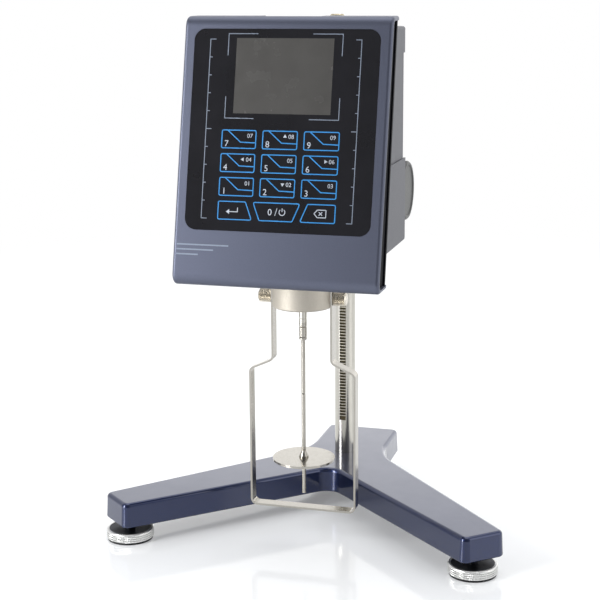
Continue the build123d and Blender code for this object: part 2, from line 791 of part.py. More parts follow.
def guard():
    """Guard leg: one flat strip bent into a U that steps out below the hub."""
    inner_top = hub_radius - hub_flat_depth
    outer_top = inner_top + guard_thickness
    high = guard_top_z + guard_blank
    right = [
        (outer_top, high, 0),
        (outer_top, guard_shoulder_z, guard_bend_radius - guard_thickness),
        (guard_half_span, guard_shoulder_z - guard_shoulder_drop, guard_bend_radius),
        (guard_half_span, guard_bottom_z, guard_bend_radius),
    ]
    left = [(-x, z, radius) for x, z, radius in reversed(right)]
    outer = outline(*right, *left)
    strip = outer - offset(outer, -guard_thickness)
    body = extrude(Plane.XZ * strip, guard_width / 2, both=True)
    body -= block(-guard_half_span, guard_half_span, -guard_width, guard_width, guard_top_z, high + 1)
    for side in (-1, 1):
        low, high_x = sorted((side * (inner_top - guard_thickness), side * (outer_top + 1)))
        body -= cross_rod(thumbscrew_stud_radius + 0.4, low, high_x, 0, thumbscrew_z)
    return body


def thumbscrew(side):
    """Knurled screw that holds one end of the guard against the hub."""
    seat = hub_radius - hub_flat_depth + guard_thickness + seat_gap
    head = cross_rod(thumbscrew_radius, seat, seat + thumbscrew_length, 0, thumbscrew_z)
    head = chamfer(head.edges().sort_by(Axis.X)[-1], 1.0)
    stud_end = hub_radius - hub_flat_depth - thumbscrew_engagement
    head += cross_rod(thumbscrew_stud_radius, stud_end, seat, 0, thumbscrew_z)
    return head if side > 0 else mirror(head, Plane.YZ)


# --- Spindle and drive --------------------------------------------------------------------
def lower_bearing():
    """Bearing ring in the hub's floor."""
    z = hub_bottom_z + hub_floor - bearing_height
    return rod(bearing_radius, z, z + bearing_height) - rod(
        shaft_radius + running_gap, z - 1, z + bearing_height + 1,
    )


def groove(radius, z):
    """Profile points of a fine groove around a rod, from its lower edge up."""
    return (radius, z), (radius - groove_depth, z + groove_width / 2), (radius, z + groove_width)


def measuring_spindle():
    """Disc spindle: rod, disc, cone collar, immersion groove and threaded nut."""
    disc_z = spindle_tip_z + disc_height
    nut_z = spindle_top_z - nut_height
    collar_z = disc_z + disc_thickness + collar_height
    profile = Polyline(
        (0, spindle_tip_z), (spindle_rod_radius, spindle_tip_z), (spindle_rod_radius, disc_z),
        (disc_radius, disc_z), (disc_radius, disc_z + disc_thickness),
        (collar_radius, disc_z + disc_thickness), (collar_radius, disc_z + disc_thickness + 1),
        (spindle_rod_radius, collar_z),
        *groove(spindle_rod_radius, spindle_tip_z + groove_height),
        (spindle_rod_radius, nut_z), (nut_radius - groove_depth, nut_z),
        (nut_radius, nut_z + groove_depth),
        *groove(nut_radius, nut_z + nut_ring_height),
        *groove(nut_radius, nut_z + nut_joint_height),
        (nut_radius, spindle_top_z), (nut_thread_radius + running_gap, spindle_top_z),
        (nut_thread_radius + running_gap, spindle_top_z - nut_thread_depth),
        (0, spindle_top_z - nut_thread_depth), close=True,
    )
    return revolve(Plane.XZ * make_face(profile), Axis.Z)


def pivot_shaft():
    """Instrument's shaft, with the stud that the spindle screws onto."""
    shaft = rod(shaft_radius, spindle_top_z + seat_gap, shaft_top_z)
    shaft += rod(nut_thread_radius, spindle_top_z - nut_thread_depth + 0.5, spindle_top_z + seat_gap)
    shaft += rod(spring_inner_radius, shaft_top_z - spring_height - 1, shaft_top_z)
    groove_z = spindle_top_z + 3
    ring = rod(shaft_radius + 1, groove_z, groove_z + 0.8)
    ring -= rod(shaft_radius - 0.4, groove_z - 1, groove_z + 2)
    return shaft - ring


def torque_spring():
    """Flat spiral spring whose twist measures the torque."""
    start = spring_inner_radius + seat_gap / 2
    steps = spring_turns * spring_facets
    inner, outer = [], []
    for step in range(steps + 1):
        turn = 2 * pi * step / spring_facets
        radius = start + spring_pitch * step / spring_facets
        inner.append((radius * cos(turn), radius * sin(turn)))
        outer.append(((radius + spring_strip) * cos(turn), (radius + spring_strip) * sin(turn)))
    strip = make_face(Polyline(*inner, *reversed(outer), close=True))
    return Pos(0, 0, shaft_top_z - spring_height - 0.5) * extrude(strip, spring_height)


def motor_bracket():
    """Plate on four pillars above the housing's floor."""
    z = motor_plate_z
    edge = motor_plate_size / 2
    bracket = block(-edge, edge, -edge, edge, z, z + motor_plate_thickness)
    for x in (-pillar_spread, pillar_spread):
        for y in (-pillar_spread, pillar_spread):
            half = pillar_width / 2
            bracket += block(x - half, x + half, y - half, y + half, floor_top_z, z)
    return bracket - rod(motor_pilot_radius + seat_gap, z - 1, z + motor_plate_thickness + 1)


def drive_motor():
    """Square motor with a pilot boss and a bore for its shaft."""
    z = motor_plate_z + motor_plate_thickness
    half = motor_size / 2
    motor = block(-half, half, -half, half, z, z + motor_length)
    motor = chamfer(motor.edges().filter_by(Axis.Z), motor_corner)
    motor += rod(motor_pilot_radius, motor_plate_z + 1, z)
    return motor - rod(motor_shaft_radius + running_gap, motor_plate_z - 1, z + motor_length - 4)


def motor_rotor():
    """Motor's shaft with the slotted disc that the angle sensor reads."""
    low = shaft_top_z + 1.5
    top = motor_plate_z + motor_plate_thickness + motor_length - 5
    shaft = rod(motor_shaft_radius, low, top)
    disc_z = low + rotor_collar_height
    shaft += rod(motor_shaft_radius + rotor_collar_wall, low, disc_z)
    disc = rod(encoder_radius, disc_z, disc_z + encoder_thickness)
    slot = Pos(encoder_radius - encoder_slot_inset, 0, disc_z)
    slot *= Box(encoder_slot_length, encoder_slot_width, 10)
    for turn in range(encoder_slots):
        disc -= Rot(0, 0, turn * 360 / encoder_slots) * slot
    return shaft + disc


# --- Clamp, pinion and knob -----------------------------------------------------------------
def clamp_block():
    """Clamp that slides on the column: bored, slit at the back, with a room for the pinion."""
    top = clamp_bottom_z + clamp_height
    body = block(-clamp_half_width, clamp_half_width, housing_rear_y, clamp_rear_y, clamp_bottom_z, top)
    body = fillet(rear_corners(body), clamp_corner_radius)
    body -= rod(clamp_bore_radius, clamp_bottom_z - 1, top + 1, 0, column_y)
    body -= block(-clamp_slit / 2, clamp_slit / 2, column_y, clamp_rear_y + 1, clamp_bottom_z - 1, top + 1)
    room = pinion_width / 2 + moving_gap
    body -= cross_rod(pinion_radius + rack_module + moving_gap, -room, room, pinion_y, pinion_z)
    body -= cross_rod(
        pinion_shaft_radius + running_gap, -clamp_half_width - 1, clamp_half_width + 1,
        pinion_y, pinion_z,
    )
    screw_y = clamp_rear_y - clamp_rear_wall / 2
    body -= cross_rod(
        tension_screw_radius + seat_gap, -clamp_half_width * 0.8, clamp_half_width + 1,
        screw_y, pinion_z,
    )
    return body


def clamp_bush():
    """Plastic liner between clamp and column, open in front for the rack."""
    inner = column_radius + running_gap
    top = clamp_bottom_z + clamp_height
    body = rod(inner + bush_thickness, clamp_bottom_z, top, 0, column_y)
    body -= rod(inner, clamp_bottom_z - 1, top + 1, 0, column_y)
    return body - block(
        -bush_slot / 2, bush_slot / 2, column_y - 2 * column_radius, column_y,
        clamp_bottom_z - 1, top + 1,
    )


def tension_screw():
    """Socket screw that sets how firmly the clamp grips the column."""
    y = clamp_rear_y - clamp_rear_wall / 2
    head_end = clamp_half_width + tension_head_height
    head = cross_rod(tension_head_radius, clamp_half_width, head_end, y, pinion_z)
    head += cross_rod(tension_screw_radius, -clamp_half_width * 0.75, clamp_half_width, y, pinion_z)
    face = clamp_half_width + tension_head_height
    key = Pos(face - 2.5, y, pinion_z) * Rot(0, 90, 0) * extrude(RegularPolygon(2.3, 6), 3)
    return head - key


def pinion_shaft():
    """Shaft with the pinion cut on it; one tooth points at the rack."""
    tip = pinion_radius + rack_module * 0.9
    root = pinion_radius - rack_module * 1.2
    half_pitch_tooth = rack_pitch / 4 - tooth_play / 2
    profile = Circle(root)
    half_root = half_pitch_tooth + 0.32
    half_tip = half_pitch_tooth - 0.27
    tooth = make_face(Polyline(
        (root - 0.4, -half_root), (tip, -half_tip), (tip, half_tip), (root - 0.4, half_root), close=True,
    ))
    for step in range(pinion_teeth):
        profile += Rot(0, 0, step * 360 / pinion_teeth) * tooth
    gear = side_solid(profile, -pinion_width / 2, pinion_width / 2)
    shaft_end = knob_face_x - 4
    gear += cross_rod(pinion_shaft_radius, -clamp_half_width - 2, shaft_end, 0, 0)
    return Pos(0, pinion_y, pinion_z) * gear


def height_knob():
    """Turned knob on the end of the pinion's shaft."""
    back = knob_face_x - knob_thickness
    body = cross_rod(knob_radius, back, knob_face_x, 0, 0)
    body = chamfer(body.edges().sort_by(Axis.X)[-1], knob_edge_bevel)
    hub_back = clamp_half_width + moving_gap
    body += cross_rod(pinion_shaft_radius + 4, hub_back, back + 1, 0, 0)
    body -= cross_rod(pinion_shaft_radius + seat_gap / 2, hub_back - 1, knob_face_x - 3.9, 0, 0)
    return Pos(0, pinion_y, pinion_z) * body


# --- Spirit level and boards ------------------------------------------------------------------
def level_ring():
    """Metal cup of the round spirit level."""
    cup = rod(level_radius, cap_top_z, cap_top_z + level_height, level_x, level_y)
    cup = chamfer(cup.edges().sort_by(Axis.Z)[-1], 0.7)
    return cup - rod(
        level_vial_radius + seat_gap, cap_top_z + level_cup_floor, cap_top_z + level_height + 1,
        level_x, level_y,
    )


def level_vial():
    """Vial with its window just below the cup's rim."""
    top = cap_top_z + level_height - level_vial_inset
    return rod(level_vial_radius, cap_top_z + level_cup_floor, top, level_x, level_y)


def main_board():
    """Electronics board on the housing's stand-offs."""
    back = board_back_y
    half_x, half_z = main_board_width / 2, main_board_height / 2
    board = block(-half_x, half_x, back - board_thickness, back, main_board_z - half_z, main_board_z + half_z)
    for share_x, share_z, share_width, share_height, layers in main_board_parts:
        x, z = share_x * main_board_width, main_board_z + share_z * main_board_height
        half_width, half_height = share_width * half_x, share_height * half_z
        front = back - board_thickness
        board += block(
            x - half_width, x + half_width, front - layers * board_thickness, front,
            z - half_height, z + half_height,
        )
    return board


# --- Write every piece --------------------------------------------------------------------
os.makedirs("parts", exist_ok=True)

pieces = {
    "base_casting": base_casting(),
    "column": column(),
    "rack": rack(),
    "column_bolt": column_bolt(),
    "column_cap": column_cap(),
    "front_cover": front_cover(),
    "touch_panel": touch_panel(),
    "display_module": display_module(),
    "key_board": key_board(),
    "cheek_left": cheek(-1),
    "cheek_right": cheek(1),
    "rear_housing": rear_housing(),
    "top_cap": top_cap(),
    "bottom_plate": bottom_plate(),
    "side_plate_left": side_plate(-1),
    "side_plate_right": side_plate(1),
    "rear_panel": rear_panel(),
    "power_inlet": power_inlet(),
    "switch_bezel": switch_bezel(),
    "switch_rocker": switch_rocker(),
    "data_socket": data_socket(),
    "probe_socket": probe_socket(),
    "hub": hub(),
    "guard": guard(),
    "thumbscrew_left": thumbscrew(-1),
    "thumbscrew_right": thumbscrew(1),
    "lower_bearing": lower_bearing(),
    "measuring_spindle": measuring_spindle(),
    "pivot_shaft": pivot_shaft(),
    "torque_spring": torque_spring(),
    "motor_bracket": motor_bracket(),
    "drive_motor": drive_motor(),
    "motor_rotor": motor_rotor(),
    "clamp_block": clamp_block(),
    "clamp_bush": clamp_bush(),
    "tension_screw": tension_screw(),
    "pinion_shaft": pinion_shaft(),
    "height_knob": height_knob(),
    "level_ring": level_ring(),
    "level_vial": level_vial(),
    "main_board": main_board(),
}
for place, (x, y) in feet().items():
    pieces[f"foot_disc_{place}"] = foot_disc(x, y)
    pad = rod(foot_disc_radius - foot_pad_inset, 0, foot_pad_height, x, y)
    pieces[f"foot_pad_{place}"] = pad

for name, shape in pieces.items():
    save(name, shape)
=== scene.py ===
# %% [markdown]
# # A rotational viscometer, finished piece by piece
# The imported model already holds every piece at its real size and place. This lesson
# gives each piece the finish that the real one has, and adds the fine work that is
# drawn on a surface or cut into it: printed keys, knurls, ribs and screw heads.

# %% Load the frame
from math import cos, pi, radians, sin

import bmesh
import bpy
from mathutils import Matrix, Vector


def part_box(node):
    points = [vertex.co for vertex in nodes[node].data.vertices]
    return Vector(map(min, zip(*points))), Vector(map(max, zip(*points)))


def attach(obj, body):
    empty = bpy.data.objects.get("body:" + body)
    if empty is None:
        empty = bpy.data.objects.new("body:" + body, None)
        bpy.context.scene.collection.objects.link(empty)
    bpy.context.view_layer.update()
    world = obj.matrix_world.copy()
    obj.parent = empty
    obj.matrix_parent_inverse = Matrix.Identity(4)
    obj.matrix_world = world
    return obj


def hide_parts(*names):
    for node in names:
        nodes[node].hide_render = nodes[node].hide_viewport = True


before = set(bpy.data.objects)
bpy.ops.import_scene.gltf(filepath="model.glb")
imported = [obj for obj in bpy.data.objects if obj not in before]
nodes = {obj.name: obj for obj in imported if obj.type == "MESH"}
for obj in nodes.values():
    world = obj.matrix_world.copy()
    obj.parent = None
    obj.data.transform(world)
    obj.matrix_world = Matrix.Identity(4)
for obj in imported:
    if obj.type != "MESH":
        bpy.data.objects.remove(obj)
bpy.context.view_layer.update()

mm = 0.001
print("pieces in the frame:", len(nodes))

# %% [markdown]
# The camera stands in front and a little to the right, above the height of the screen,
# and looks down at the instrument. Its lens is long, so the legs barely fan out.

# %% Camera
axis_y = -60.62285 * mm       # the spindle's axis, behind the middle of the footprint
camera_turn = radians(15.96)
camera_away = 1.03558
camera_height = 0.42612
camera_dip = radians(12.79)
camera_roll = radians(-0.39)
image_width = 600
focal_pixels = 1437.3
middle_pixel = 302.83

lens = bpy.data.cameras.new("camera")
lens.sensor_width = 36
lens.lens = focal_pixels / image_width * lens.sensor_width
lens.shift_x = (image_width / 2 - middle_pixel) / image_width
lens.clip_start = 0.02
camera = bpy.data.objects.new("camera", lens)
camera.location = (
    camera_away * sin(camera_turn), axis_y - camera_away * cos(camera_turn), camera_height,
)
facing = Matrix.Rotation(camera_turn, 4, "Z") @ Matrix.Rotation(pi / 2 - camera_dip, 4, "X")
camera.rotation_euler = (facing @ Matrix.Rotation(camera_roll, 4, "Z")).to_euler()
bpy.context.scene.collection.objects.link(camera)
bpy.context.scene.camera = camera
print("lens", round(lens.lens, 1), "mm")

# %% [markdown]
# Colours are written as the hex values that a screen shows. Shaders work in linear
# light, so one function turns the first into the second.

# %% Colours
def light_value(level):
    """Linear light of one sRGB channel, both from 0 to 1."""
    return level / 12.92 if level <= 0.04045 else ((level + 0.055) / 1.055) ** 2.4


def colour(hex_code):
    """Linear colour from an sRGB hex value."""
    levels = [int(hex_code[i:i + 2], 16) / 255 for i in (1, 3, 5)]
    return tuple(light_value(level) for level in levels) + (1.0,)


print("a mid grey in linear light:", round(light_value(0.5), 3))

# %% [markdown]
# Every finish is a small net of shader nodes. One function adds a node and fills or
# links its inputs. A second one starts a finish: it gives the two nodes that every
# finish has, and the surface's own coordinates in metres, so that a grain can be given
# its real size.

# %% Nodes of a finish
def add(tree, kind, inputs=None, **settings):
    """Adds one node with its settings, and fills or links its inputs."""
    made = tree.nodes.new(kind)
    for option, value in settings.items():
        setattr(made, option, value)
    for socket, value in (inputs or {}).items():
        if isinstance(value, bpy.types.NodeSocket):
            tree.links.new(value, made.inputs[socket])
        else:
            made.inputs[socket].default_value = value
    return made


def start_finish(name, **sockets):
    """A new material: its tree, its shader, and the coordinates of the surface."""
    material = bpy.data.materials.new(name)
    material.use_nodes = True
    tree = material.node_tree
    tree.nodes.clear()
    inputs = {key.replace("_", " "): value for key, value in sockets.items()}
    shader = add(tree, "ShaderNodeBsdfPrincipled", inputs)
    add(tree, "ShaderNodeOutputMaterial", {"Surface": shader.outputs[0]})
    where = add(tree, "ShaderNodeTexCoord").outputs["Object"]
    return material, tree, shader, where


finishes = {}

# %% [markdown]
# No real surface is quite even. Its colour is a little patchy, its gloss wanders, and
# up close it has a grain. All three are noise of a known size, and stretching the noise
# makes the lines that a tool leaves.

# %% Unevenness of a surface
def soft_noise(tree, where, size, detail, stretch):
    """Noise with patches as large as size, longer along an axis with a small stretch."""
    stretched = add(tree, "ShaderNodeMapping", {"Vector": where, "Scale": stretch})
    noise = add(tree, "ShaderNodeTexNoise", {
        "Vector": stretched.outputs[0], "Scale": 1 / size, "Detail": detail,
    })
    return noise.outputs["Fac"]


def mottle(tree, shader, where, size, dark, light, stretch=(1, 1, 1)):
    """Soft patches between two colours, as large as size."""
    patches = soft_noise(tree, where, size, 4.0, stretch)
    ramp = add(tree, "ShaderNodeValToRGB", {"Fac": patches})
    ramp.color_ramp.elements[0].position = 0.3
    ramp.color_ramp.elements[0].color = colour(dark)
    ramp.color_ramp.elements[1].position = 0.7
    ramp.color_ramp.elements[1].color = colour(light)
    tree.links.new(ramp.outputs[0], shader.inputs["Base Color"])


def uneven_gloss(tree, shader, where, size, low, high, stretch=(1, 1, 1)):
    """Roughness that wanders between two values, in patches as large as size."""
    patches = soft_noise(tree, where, size, 3.0, stretch)
    spread = add(tree, "ShaderNodeMapRange", {
        "Value": patches, "From Min": 0.3, "From Max": 0.7,
        "To Min": low, "To Max": high,
    })
    tree.links.new(spread.outputs[0], shader.inputs["Roughness"])


def grain(tree, shader, where, size, height, stretch=(1, 1, 1)):
    """Fine bumps of one size and height, for a blasted, moulded or sprayed surface."""
    bumps = soft_noise(tree, where, size, 2.0, stretch)
    bump = add(tree, "ShaderNodeBump", {
        "Height": bumps, "Distance": height, "Strength": 1.0,
    })
    tree.links.new(bump.outputs[0], shader.inputs["Normal"])


# %% [markdown]
# The base is cast aluminium under a glossy stove enamel with metal flake. The flake
# gives the navy its depth and the clear top coat the sharp light along the edges.
# Flake is near 0.05 mm, too fine to show, so its sparkle is drawn at 0.5 mm.

# %% Enamel of the base
material, tree, shader, where = start_finish(
    "navy_stove_enamel", Metallic=0.9, Roughness=0.36, Coat_Weight=1.0, Coat_Roughness=0.06,
    Coat_IOR=1.56,
)
mottle(tree, shader, where, 0.5 * mm, "#15234a", "#182752")
uneven_gloss(tree, shader, where, 20 * mm, 0.33, 0.38)
finishes["cast_paint"] = material
print("finish:", material.name)

# %% [markdown]
# The cover is bent sheet aluminium with a satin metallic lacquer, slate blue. The
# lacquer has less gloss than the base, so it shows broad, soft gradients. Its spray
# leaves an orange peel of about 1.5 mm, only a few microns high.

# %% Lacquer of the cover
material, tree, shader, where = start_finish(
    "slate_blue_lacquer", Metallic=0.85, Roughness=0.48, Coat_Weight=0.2, Coat_Roughness=0.3,
)
mottle(tree, shader, where, 0.6 * mm, "#5b5f70", "#5f6475")
grain(tree, shader, where, 1.5 * mm, 0.004 * mm)
finishes["cover_paint"] = material
print("finish:", material.name)

# %% [markdown]
# The rear housing is folded steel sheet with a powder coat in grey blue. Powder flows
# out to a fine, even texture, near 0.8 mm, and reflects softly.

# %% Powder coat of the housing
material, tree, shader, where = start_finish(
    "grey_powder_coat", Metallic=0.1, Roughness=0.5, Specular_IOR_Level=0.35,
)
mottle(tree, shader, where, 0.8 * mm, "#606167", "#696a70")
grain(tree, shader, where, 0.8 * mm, 0.012 * mm)
finishes["housing_paint"] = material
print("finish:", material.name)

# %% [markdown]
# The walls set back in the cover's open sides are drawn a blue near black, a painted
# shade for the deep gap that shows there.

# %% Painted shade of the cheeks
material, tree, shader, where = start_finish(
    "cheek_painted_shade", Roughness=0.6, Specular_IOR_Level=0.06,
)
# near black as a painted shade for the deep gap beside the cover
mottle(tree, shader, where, 1.0 * mm, "#0a0b0f", "#0e0f15")
grain(tree, shader, where, 0.8 * mm, 0.01 * mm)
finishes["dark_cheek"] = material
print("finish:", material.name)

# %% [markdown]
# The front is one sheet of float glass with black print on its back. Glass has an
# index of refraction of 1.5 and is very smooth, so its gloss alone says glass. A few
# faint wipe marks, centimetres long, keep it from looking like a hole.

# %% Glass of the panel
material, tree, shader, where = start_finish(
    "back_printed_glass", Roughness=0.06, IOR=1.5,
)
mottle(tree, shader, where, 30 * mm, "#1d1d20", "#222226")
uneven_gloss(tree, shader, where, 25 * mm, 0.05, 0.12, (1, 1, 3))
finishes["panel_glass"] = material
print("finish:", material.name)

# %% [markdown]
# Behind the glass sits a liquid crystal display, switched off. It looks like a warm
# dark grey, and its polariser film is a little less glossy than the glass.

# %% Display
material, tree, shader, where = start_finish("liquid_crystal_display", Roughness=0.22, IOR=1.5)
mottle(tree, shader, where, 22 * mm, "#4c4b49", "#535250")
uneven_gloss(tree, shader, where, 12 * mm, 0.18, 0.3)
finishes["display"] = material
print("finish:", material.name)

# %% [markdown]
# Circuit boards are glass fibre laminate under a green resist. The weave of the glass
# cloth shows as a faint grid of about 1 mm.

# %% Circuit board
material, tree, shader, where = start_finish("fibreglass_laminate", Roughness=0.35)
mottle(tree, shader, where, 1.0 * mm, "#123d24", "#1d5232")
grain(tree, shader, where, 1.0 * mm, 0.02 * mm)
finishes["board"] = material
print("finish:", material.name)

# %% [markdown]
# Bare metals come next. Each is a full metal, and what sets them apart is how the
# surface was made. Grinding and drawing leave lines along or around the piece, so the
# noise is stretched, while blasting leaves pits of about 0.2 mm with no direction. A
# recipe gives the name, two colours, the lowest and highest roughness, the grain's size
# and height in millimetres, and how the grain is stretched.

# %% Bare metals
even, drawn = (1, 1, 1), (1, 1, 0.08)
metal_recipes = {
    "column_steel": (
        "ground_steel", "#c0bdb4", "#cfccc4", 0.14, 0.26, 0.5, 0.004, (1, 1, 0.05)),
    "polished_steel": (
        "polished_stainless", "#aeaaa2", "#b9b5ad", 0.16, 0.26, 0.6, 0.002, drawn),
    "blasted_steel": (
        "bead_blasted_steel", "#c3bdb2", "#d0cabf", 0.56, 0.64, 0.25, 0.02, even),
    "knurled_steel": (
        "nickel_plated_steel", "#e4e4e2", "#f0f0ee", 0.26, 0.36, 0.5, 0.004, even),
    # the dark of the feet's studs and hollow tops is painted shade and painted reflection
    "foot_steel": (
        "stud_painted_shade_steel", "#3a3c40", "#484a4f", 0.34, 0.46, 0.5, 0.006, even),
    "screw_steel": (
        "zinc_plated_steel", "#9a9a98", "#b0b0ae", 0.25, 0.4, 0.5, 0.008, even),
    "spring_steel": (
        "blued_spring_steel", "#6b6e78", "#868a94", 0.2, 0.3, 0.5, 0.004, (1, 1, 0.2)),
    "bearing_brass": (
        "turned_brass", "#b3924e", "#c9a964", 0.2, 0.32, 0.5, 0.006, (1, 1, 6)),
    "clamp_alloy": (
        "anodised_aluminium", "#3b3e44", "#464a51", 0.35, 0.45, 0.4, 0.008, even),
    "thumb_steel": (
        "knurled_stainless", "#cdc6b8", "#ddd6c9", 0.22, 0.32, 0.5, 0.004, even),
    "level_metal": (
        "satin_nickel", "#bcb29a", "#cfc6ae", 0.18, 0.3, 0.5, 0.004, (1, 1, 4)),
}
for slot_name, (name, dark, light, low, high, size, height, stretch) in metal_recipes.items():
    material, tree, shader, where = start_finish(name, Metallic=1.0)
    mottle(tree, shader, where, size * mm, dark, light, stretch)
    uneven_gloss(tree, shader, where, 4 * size * mm, low, high, stretch)
    grain(tree, shader, where, size * mm, height * mm, stretch)
    finishes[slot_name] = material
print("metals:", len(metal_recipes))

# %% [markdown]
# The rack is milled from bright steel. Its colour goes from bright at the tooth tips
# to brown with the depth below the tips: a painted shade in the gaps between the
# teeth. The teeth are about 1.8 mm deep.

# %% Steel of the rack
material, tree, shader, where = start_finish("milled_rack_steel", Metallic=1.0, Roughness=0.46)
tip_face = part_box("rack")[0].y
# depths below the tips where the painted gap shade starts and where it is full
unshaded_depth, full_shade_depth = 0.1 * mm, 0.7 * mm
depth = add(tree, "ShaderNodeMapRange", {
    "Value": add(tree, "ShaderNodeSeparateXYZ", {"Vector": where}).outputs["Y"],
    "From Min": tip_face + unshaded_depth, "From Max": tip_face + full_shade_depth,
})
# painted shade: bright at the tips, brown deeper in the gaps
painted_gap_shade = add(tree, "ShaderNodeValToRGB", {"Fac": depth.outputs[0]})
painted_gap_shade.color_ramp.elements[0].color = colour("#e6e1d3")
painted_gap_shade.color_ramp.elements[1].color = colour("#5a5240")
tree.links.new(painted_gap_shade.outputs[0], shader.inputs["Base Color"])
grain(tree, shader, where, 0.4 * mm, 0.01 * mm)
finishes["rack_steel"] = material
print("finish:", material.name)

# %% [markdown]
# Moulded plastics and rubber: sockets and cap are black nylon, the height knob is ABS
# in a mid grey with the fine spark texture of its mould, and the feet stand on soft
# black rubber, which hardly shines at all.

# %% Plastics and rubber
soft_recipes = {
    # slot: name, dark, light, roughness low and high, grain size, height
    "black_plastic": ("moulded_nylon", "#17181b", "#1e1f23", 0.35, 0.5, 0.4, 0.012),
    "knob_plastic": ("moulded_abs", "#4a4b4b", "#535452", 0.4, 0.5, 0.4, 0.012),
    "foot_rubber": ("moulded_rubber", "#121214", "#1a1a1c", 0.65, 0.85, 0.5, 0.03),
    "white_ink": ("white_screen_print", "#b4bcc8", "#c6cdd8", 0.35, 0.5, 0.5, 0.004),
    "blue_ink": ("blue_screen_print", "#2787cf", "#3497df", 0.35, 0.5, 0.5, 0.004),
    "grey_ink": ("grey_screen_print", "#7f8a9b", "#8f9aab", 0.35, 0.5, 0.5, 0.004),
}
for slot_name, (name, dark, light, low, high, size, height) in soft_recipes.items():
    material, tree, shader, where = start_finish(name)
    mottle(tree, shader, where, size * mm, dark, light)
    uneven_gloss(tree, shader, where, 4 * size * mm, low, high)
    grain(tree, shader, where, size * mm, height * mm)
    finishes[slot_name] = material
print("plastics, rubber and inks:", len(soft_recipes))

# %% [markdown]
# The spirit level holds a yellow green liquid under a clear window. The liquid is
# drawn as a glossy, slightly glowing body, which is how it looks in its bright cup.

# %% Liquid of the level
material, tree, shader, where = start_finish(
    "level_liquid", Roughness=0.08, IOR=1.4, Coat_Weight=1.0, Coat_Roughness=0.02,
)
mottle(tree, shader, where, 4 * mm, "#a9b53a", "#c6cf57")
finishes["level_liquid"] = material
print("finish:", material.name)

# %% [markdown]
# Every piece of the frame gets the finish of what it is made of. A list of pieces for
# each finish keeps the choice in one place, and a count at the end shows that no piece
# was missed.

# %% Hand out the finishes
pieces_of = {
    "cast_paint": ["base_casting"],
    "cover_paint": ["front_cover"],
    "housing_paint": ["rear_housing", "top_cap", "bottom_plate", "side_plate_left",
                      "side_plate_right", "rear_panel"],
    "dark_cheek": ["cheek_left", "cheek_right"],
    "panel_glass": ["touch_panel"],
    "display": ["display_module"],
    "board": ["main_board", "key_board"],
    "column_steel": ["column", "pivot_shaft", "pinion_shaft", "drive_motor", "motor_rotor"],
    "rack_steel": ["rack"],
    "polished_steel": ["guard", "measuring_spindle"],
    "blasted_steel": ["hub"],
    "knurled_steel": ["thumbscrew_left", "thumbscrew_right", "foot_disc_left", "foot_disc_right",
                      "foot_disc_rear"],
    "screw_steel": ["column_bolt", "tension_screw", "motor_bracket"],
    "spring_steel": ["torque_spring"],
    "bearing_brass": ["lower_bearing"],
    "clamp_alloy": ["clamp_block"],
    "black_plastic": ["column_cap", "clamp_bush", "power_inlet", "switch_bezel", "switch_rocker",
                      "data_socket", "probe_socket"],
    "knob_plastic": ["height_knob"],
    "foot_rubber": ["foot_pad_left", "foot_pad_right", "foot_pad_rear"],
    "level_liquid": ["level_vial"],
    "level_metal": ["level_ring"],
}
dressed = 0
for finish_name, names in pieces_of.items():
    for name in names:
        nodes[name].data.materials.clear()
        nodes[name].data.materials.append(finishes[finish_name])
        dressed += 1
print("pieces dressed:", dressed, "of", len(nodes))

# %% [markdown]
# New pieces are built from points and faces. One function makes the mesh, turns its
# faces outward, rounds its shading where the faces meet softly, and lets it ride.

# %% Mesh helper
def make_piece(name, points, faces, slot_name, body, soft_angle=35):
    """One new piece on its body, with the finish of its slot. Its slot in the record is
    its finish's, or another one.
    """
    mesh = bpy.data.meshes.new(name)
    mesh.from_pydata([tuple(p) for p in points], [], faces)
    shell = bmesh.new()
    shell.from_mesh(mesh)
    bmesh.ops.remove_doubles(shell, verts=shell.verts, dist=1e-7)
    bmesh.ops.recalc_face_normals(shell, faces=shell.faces)
    shell.to_mesh(mesh)
    shell.free()
    mesh.shade_smooth()
    mesh.set_sharp_from_angle(angle=radians(soft_angle))
    mesh.materials.append(finishes[slot_name])
    piece = bpy.data.objects.new(name, mesh)
    bpy.context.scene.collection.objects.link(piece)
    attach(piece, body)
    return piece

# %% [markdown]
# The glass leans back with the cover. Prints are laid on a plane of their own, with x
# to the right and y up the slope, from the middle of the sheet.

# %% Plane of the front
cover_tilt = radians(13.1)
glass_thickness = 1.6 * mm

up_slope = Vector((0, sin(cover_tilt), cos(cover_tilt)))
outward = Vector((0, -cos(cover_tilt), sin(cover_tilt)))
glass_low, glass_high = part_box("touch_panel")
glass_middle = (glass_low + glass_high) / 2 + outward * glass_thickness / 2


def on_front(x, y, height):
    """Point over the front, from millimetres on it and metres above it."""
    return glass_middle + Vector((x * mm, 0, 0)) + up_slope * y * mm + outward * height


print("middle of the glass:", [round(v, 4) for v in glass_middle])

# %% [markdown]
# A print is 0.06 mm of ink, drawn as a closed slab, so the lines are real shapes. Its
# underside dips into the glass a little, so no gap shows. A line is a band of even
# width along a path, and a patch is a filled outline.

# %% Printed shapes
ink_height = 0.06 * mm
ink_sink = 0.04 * mm


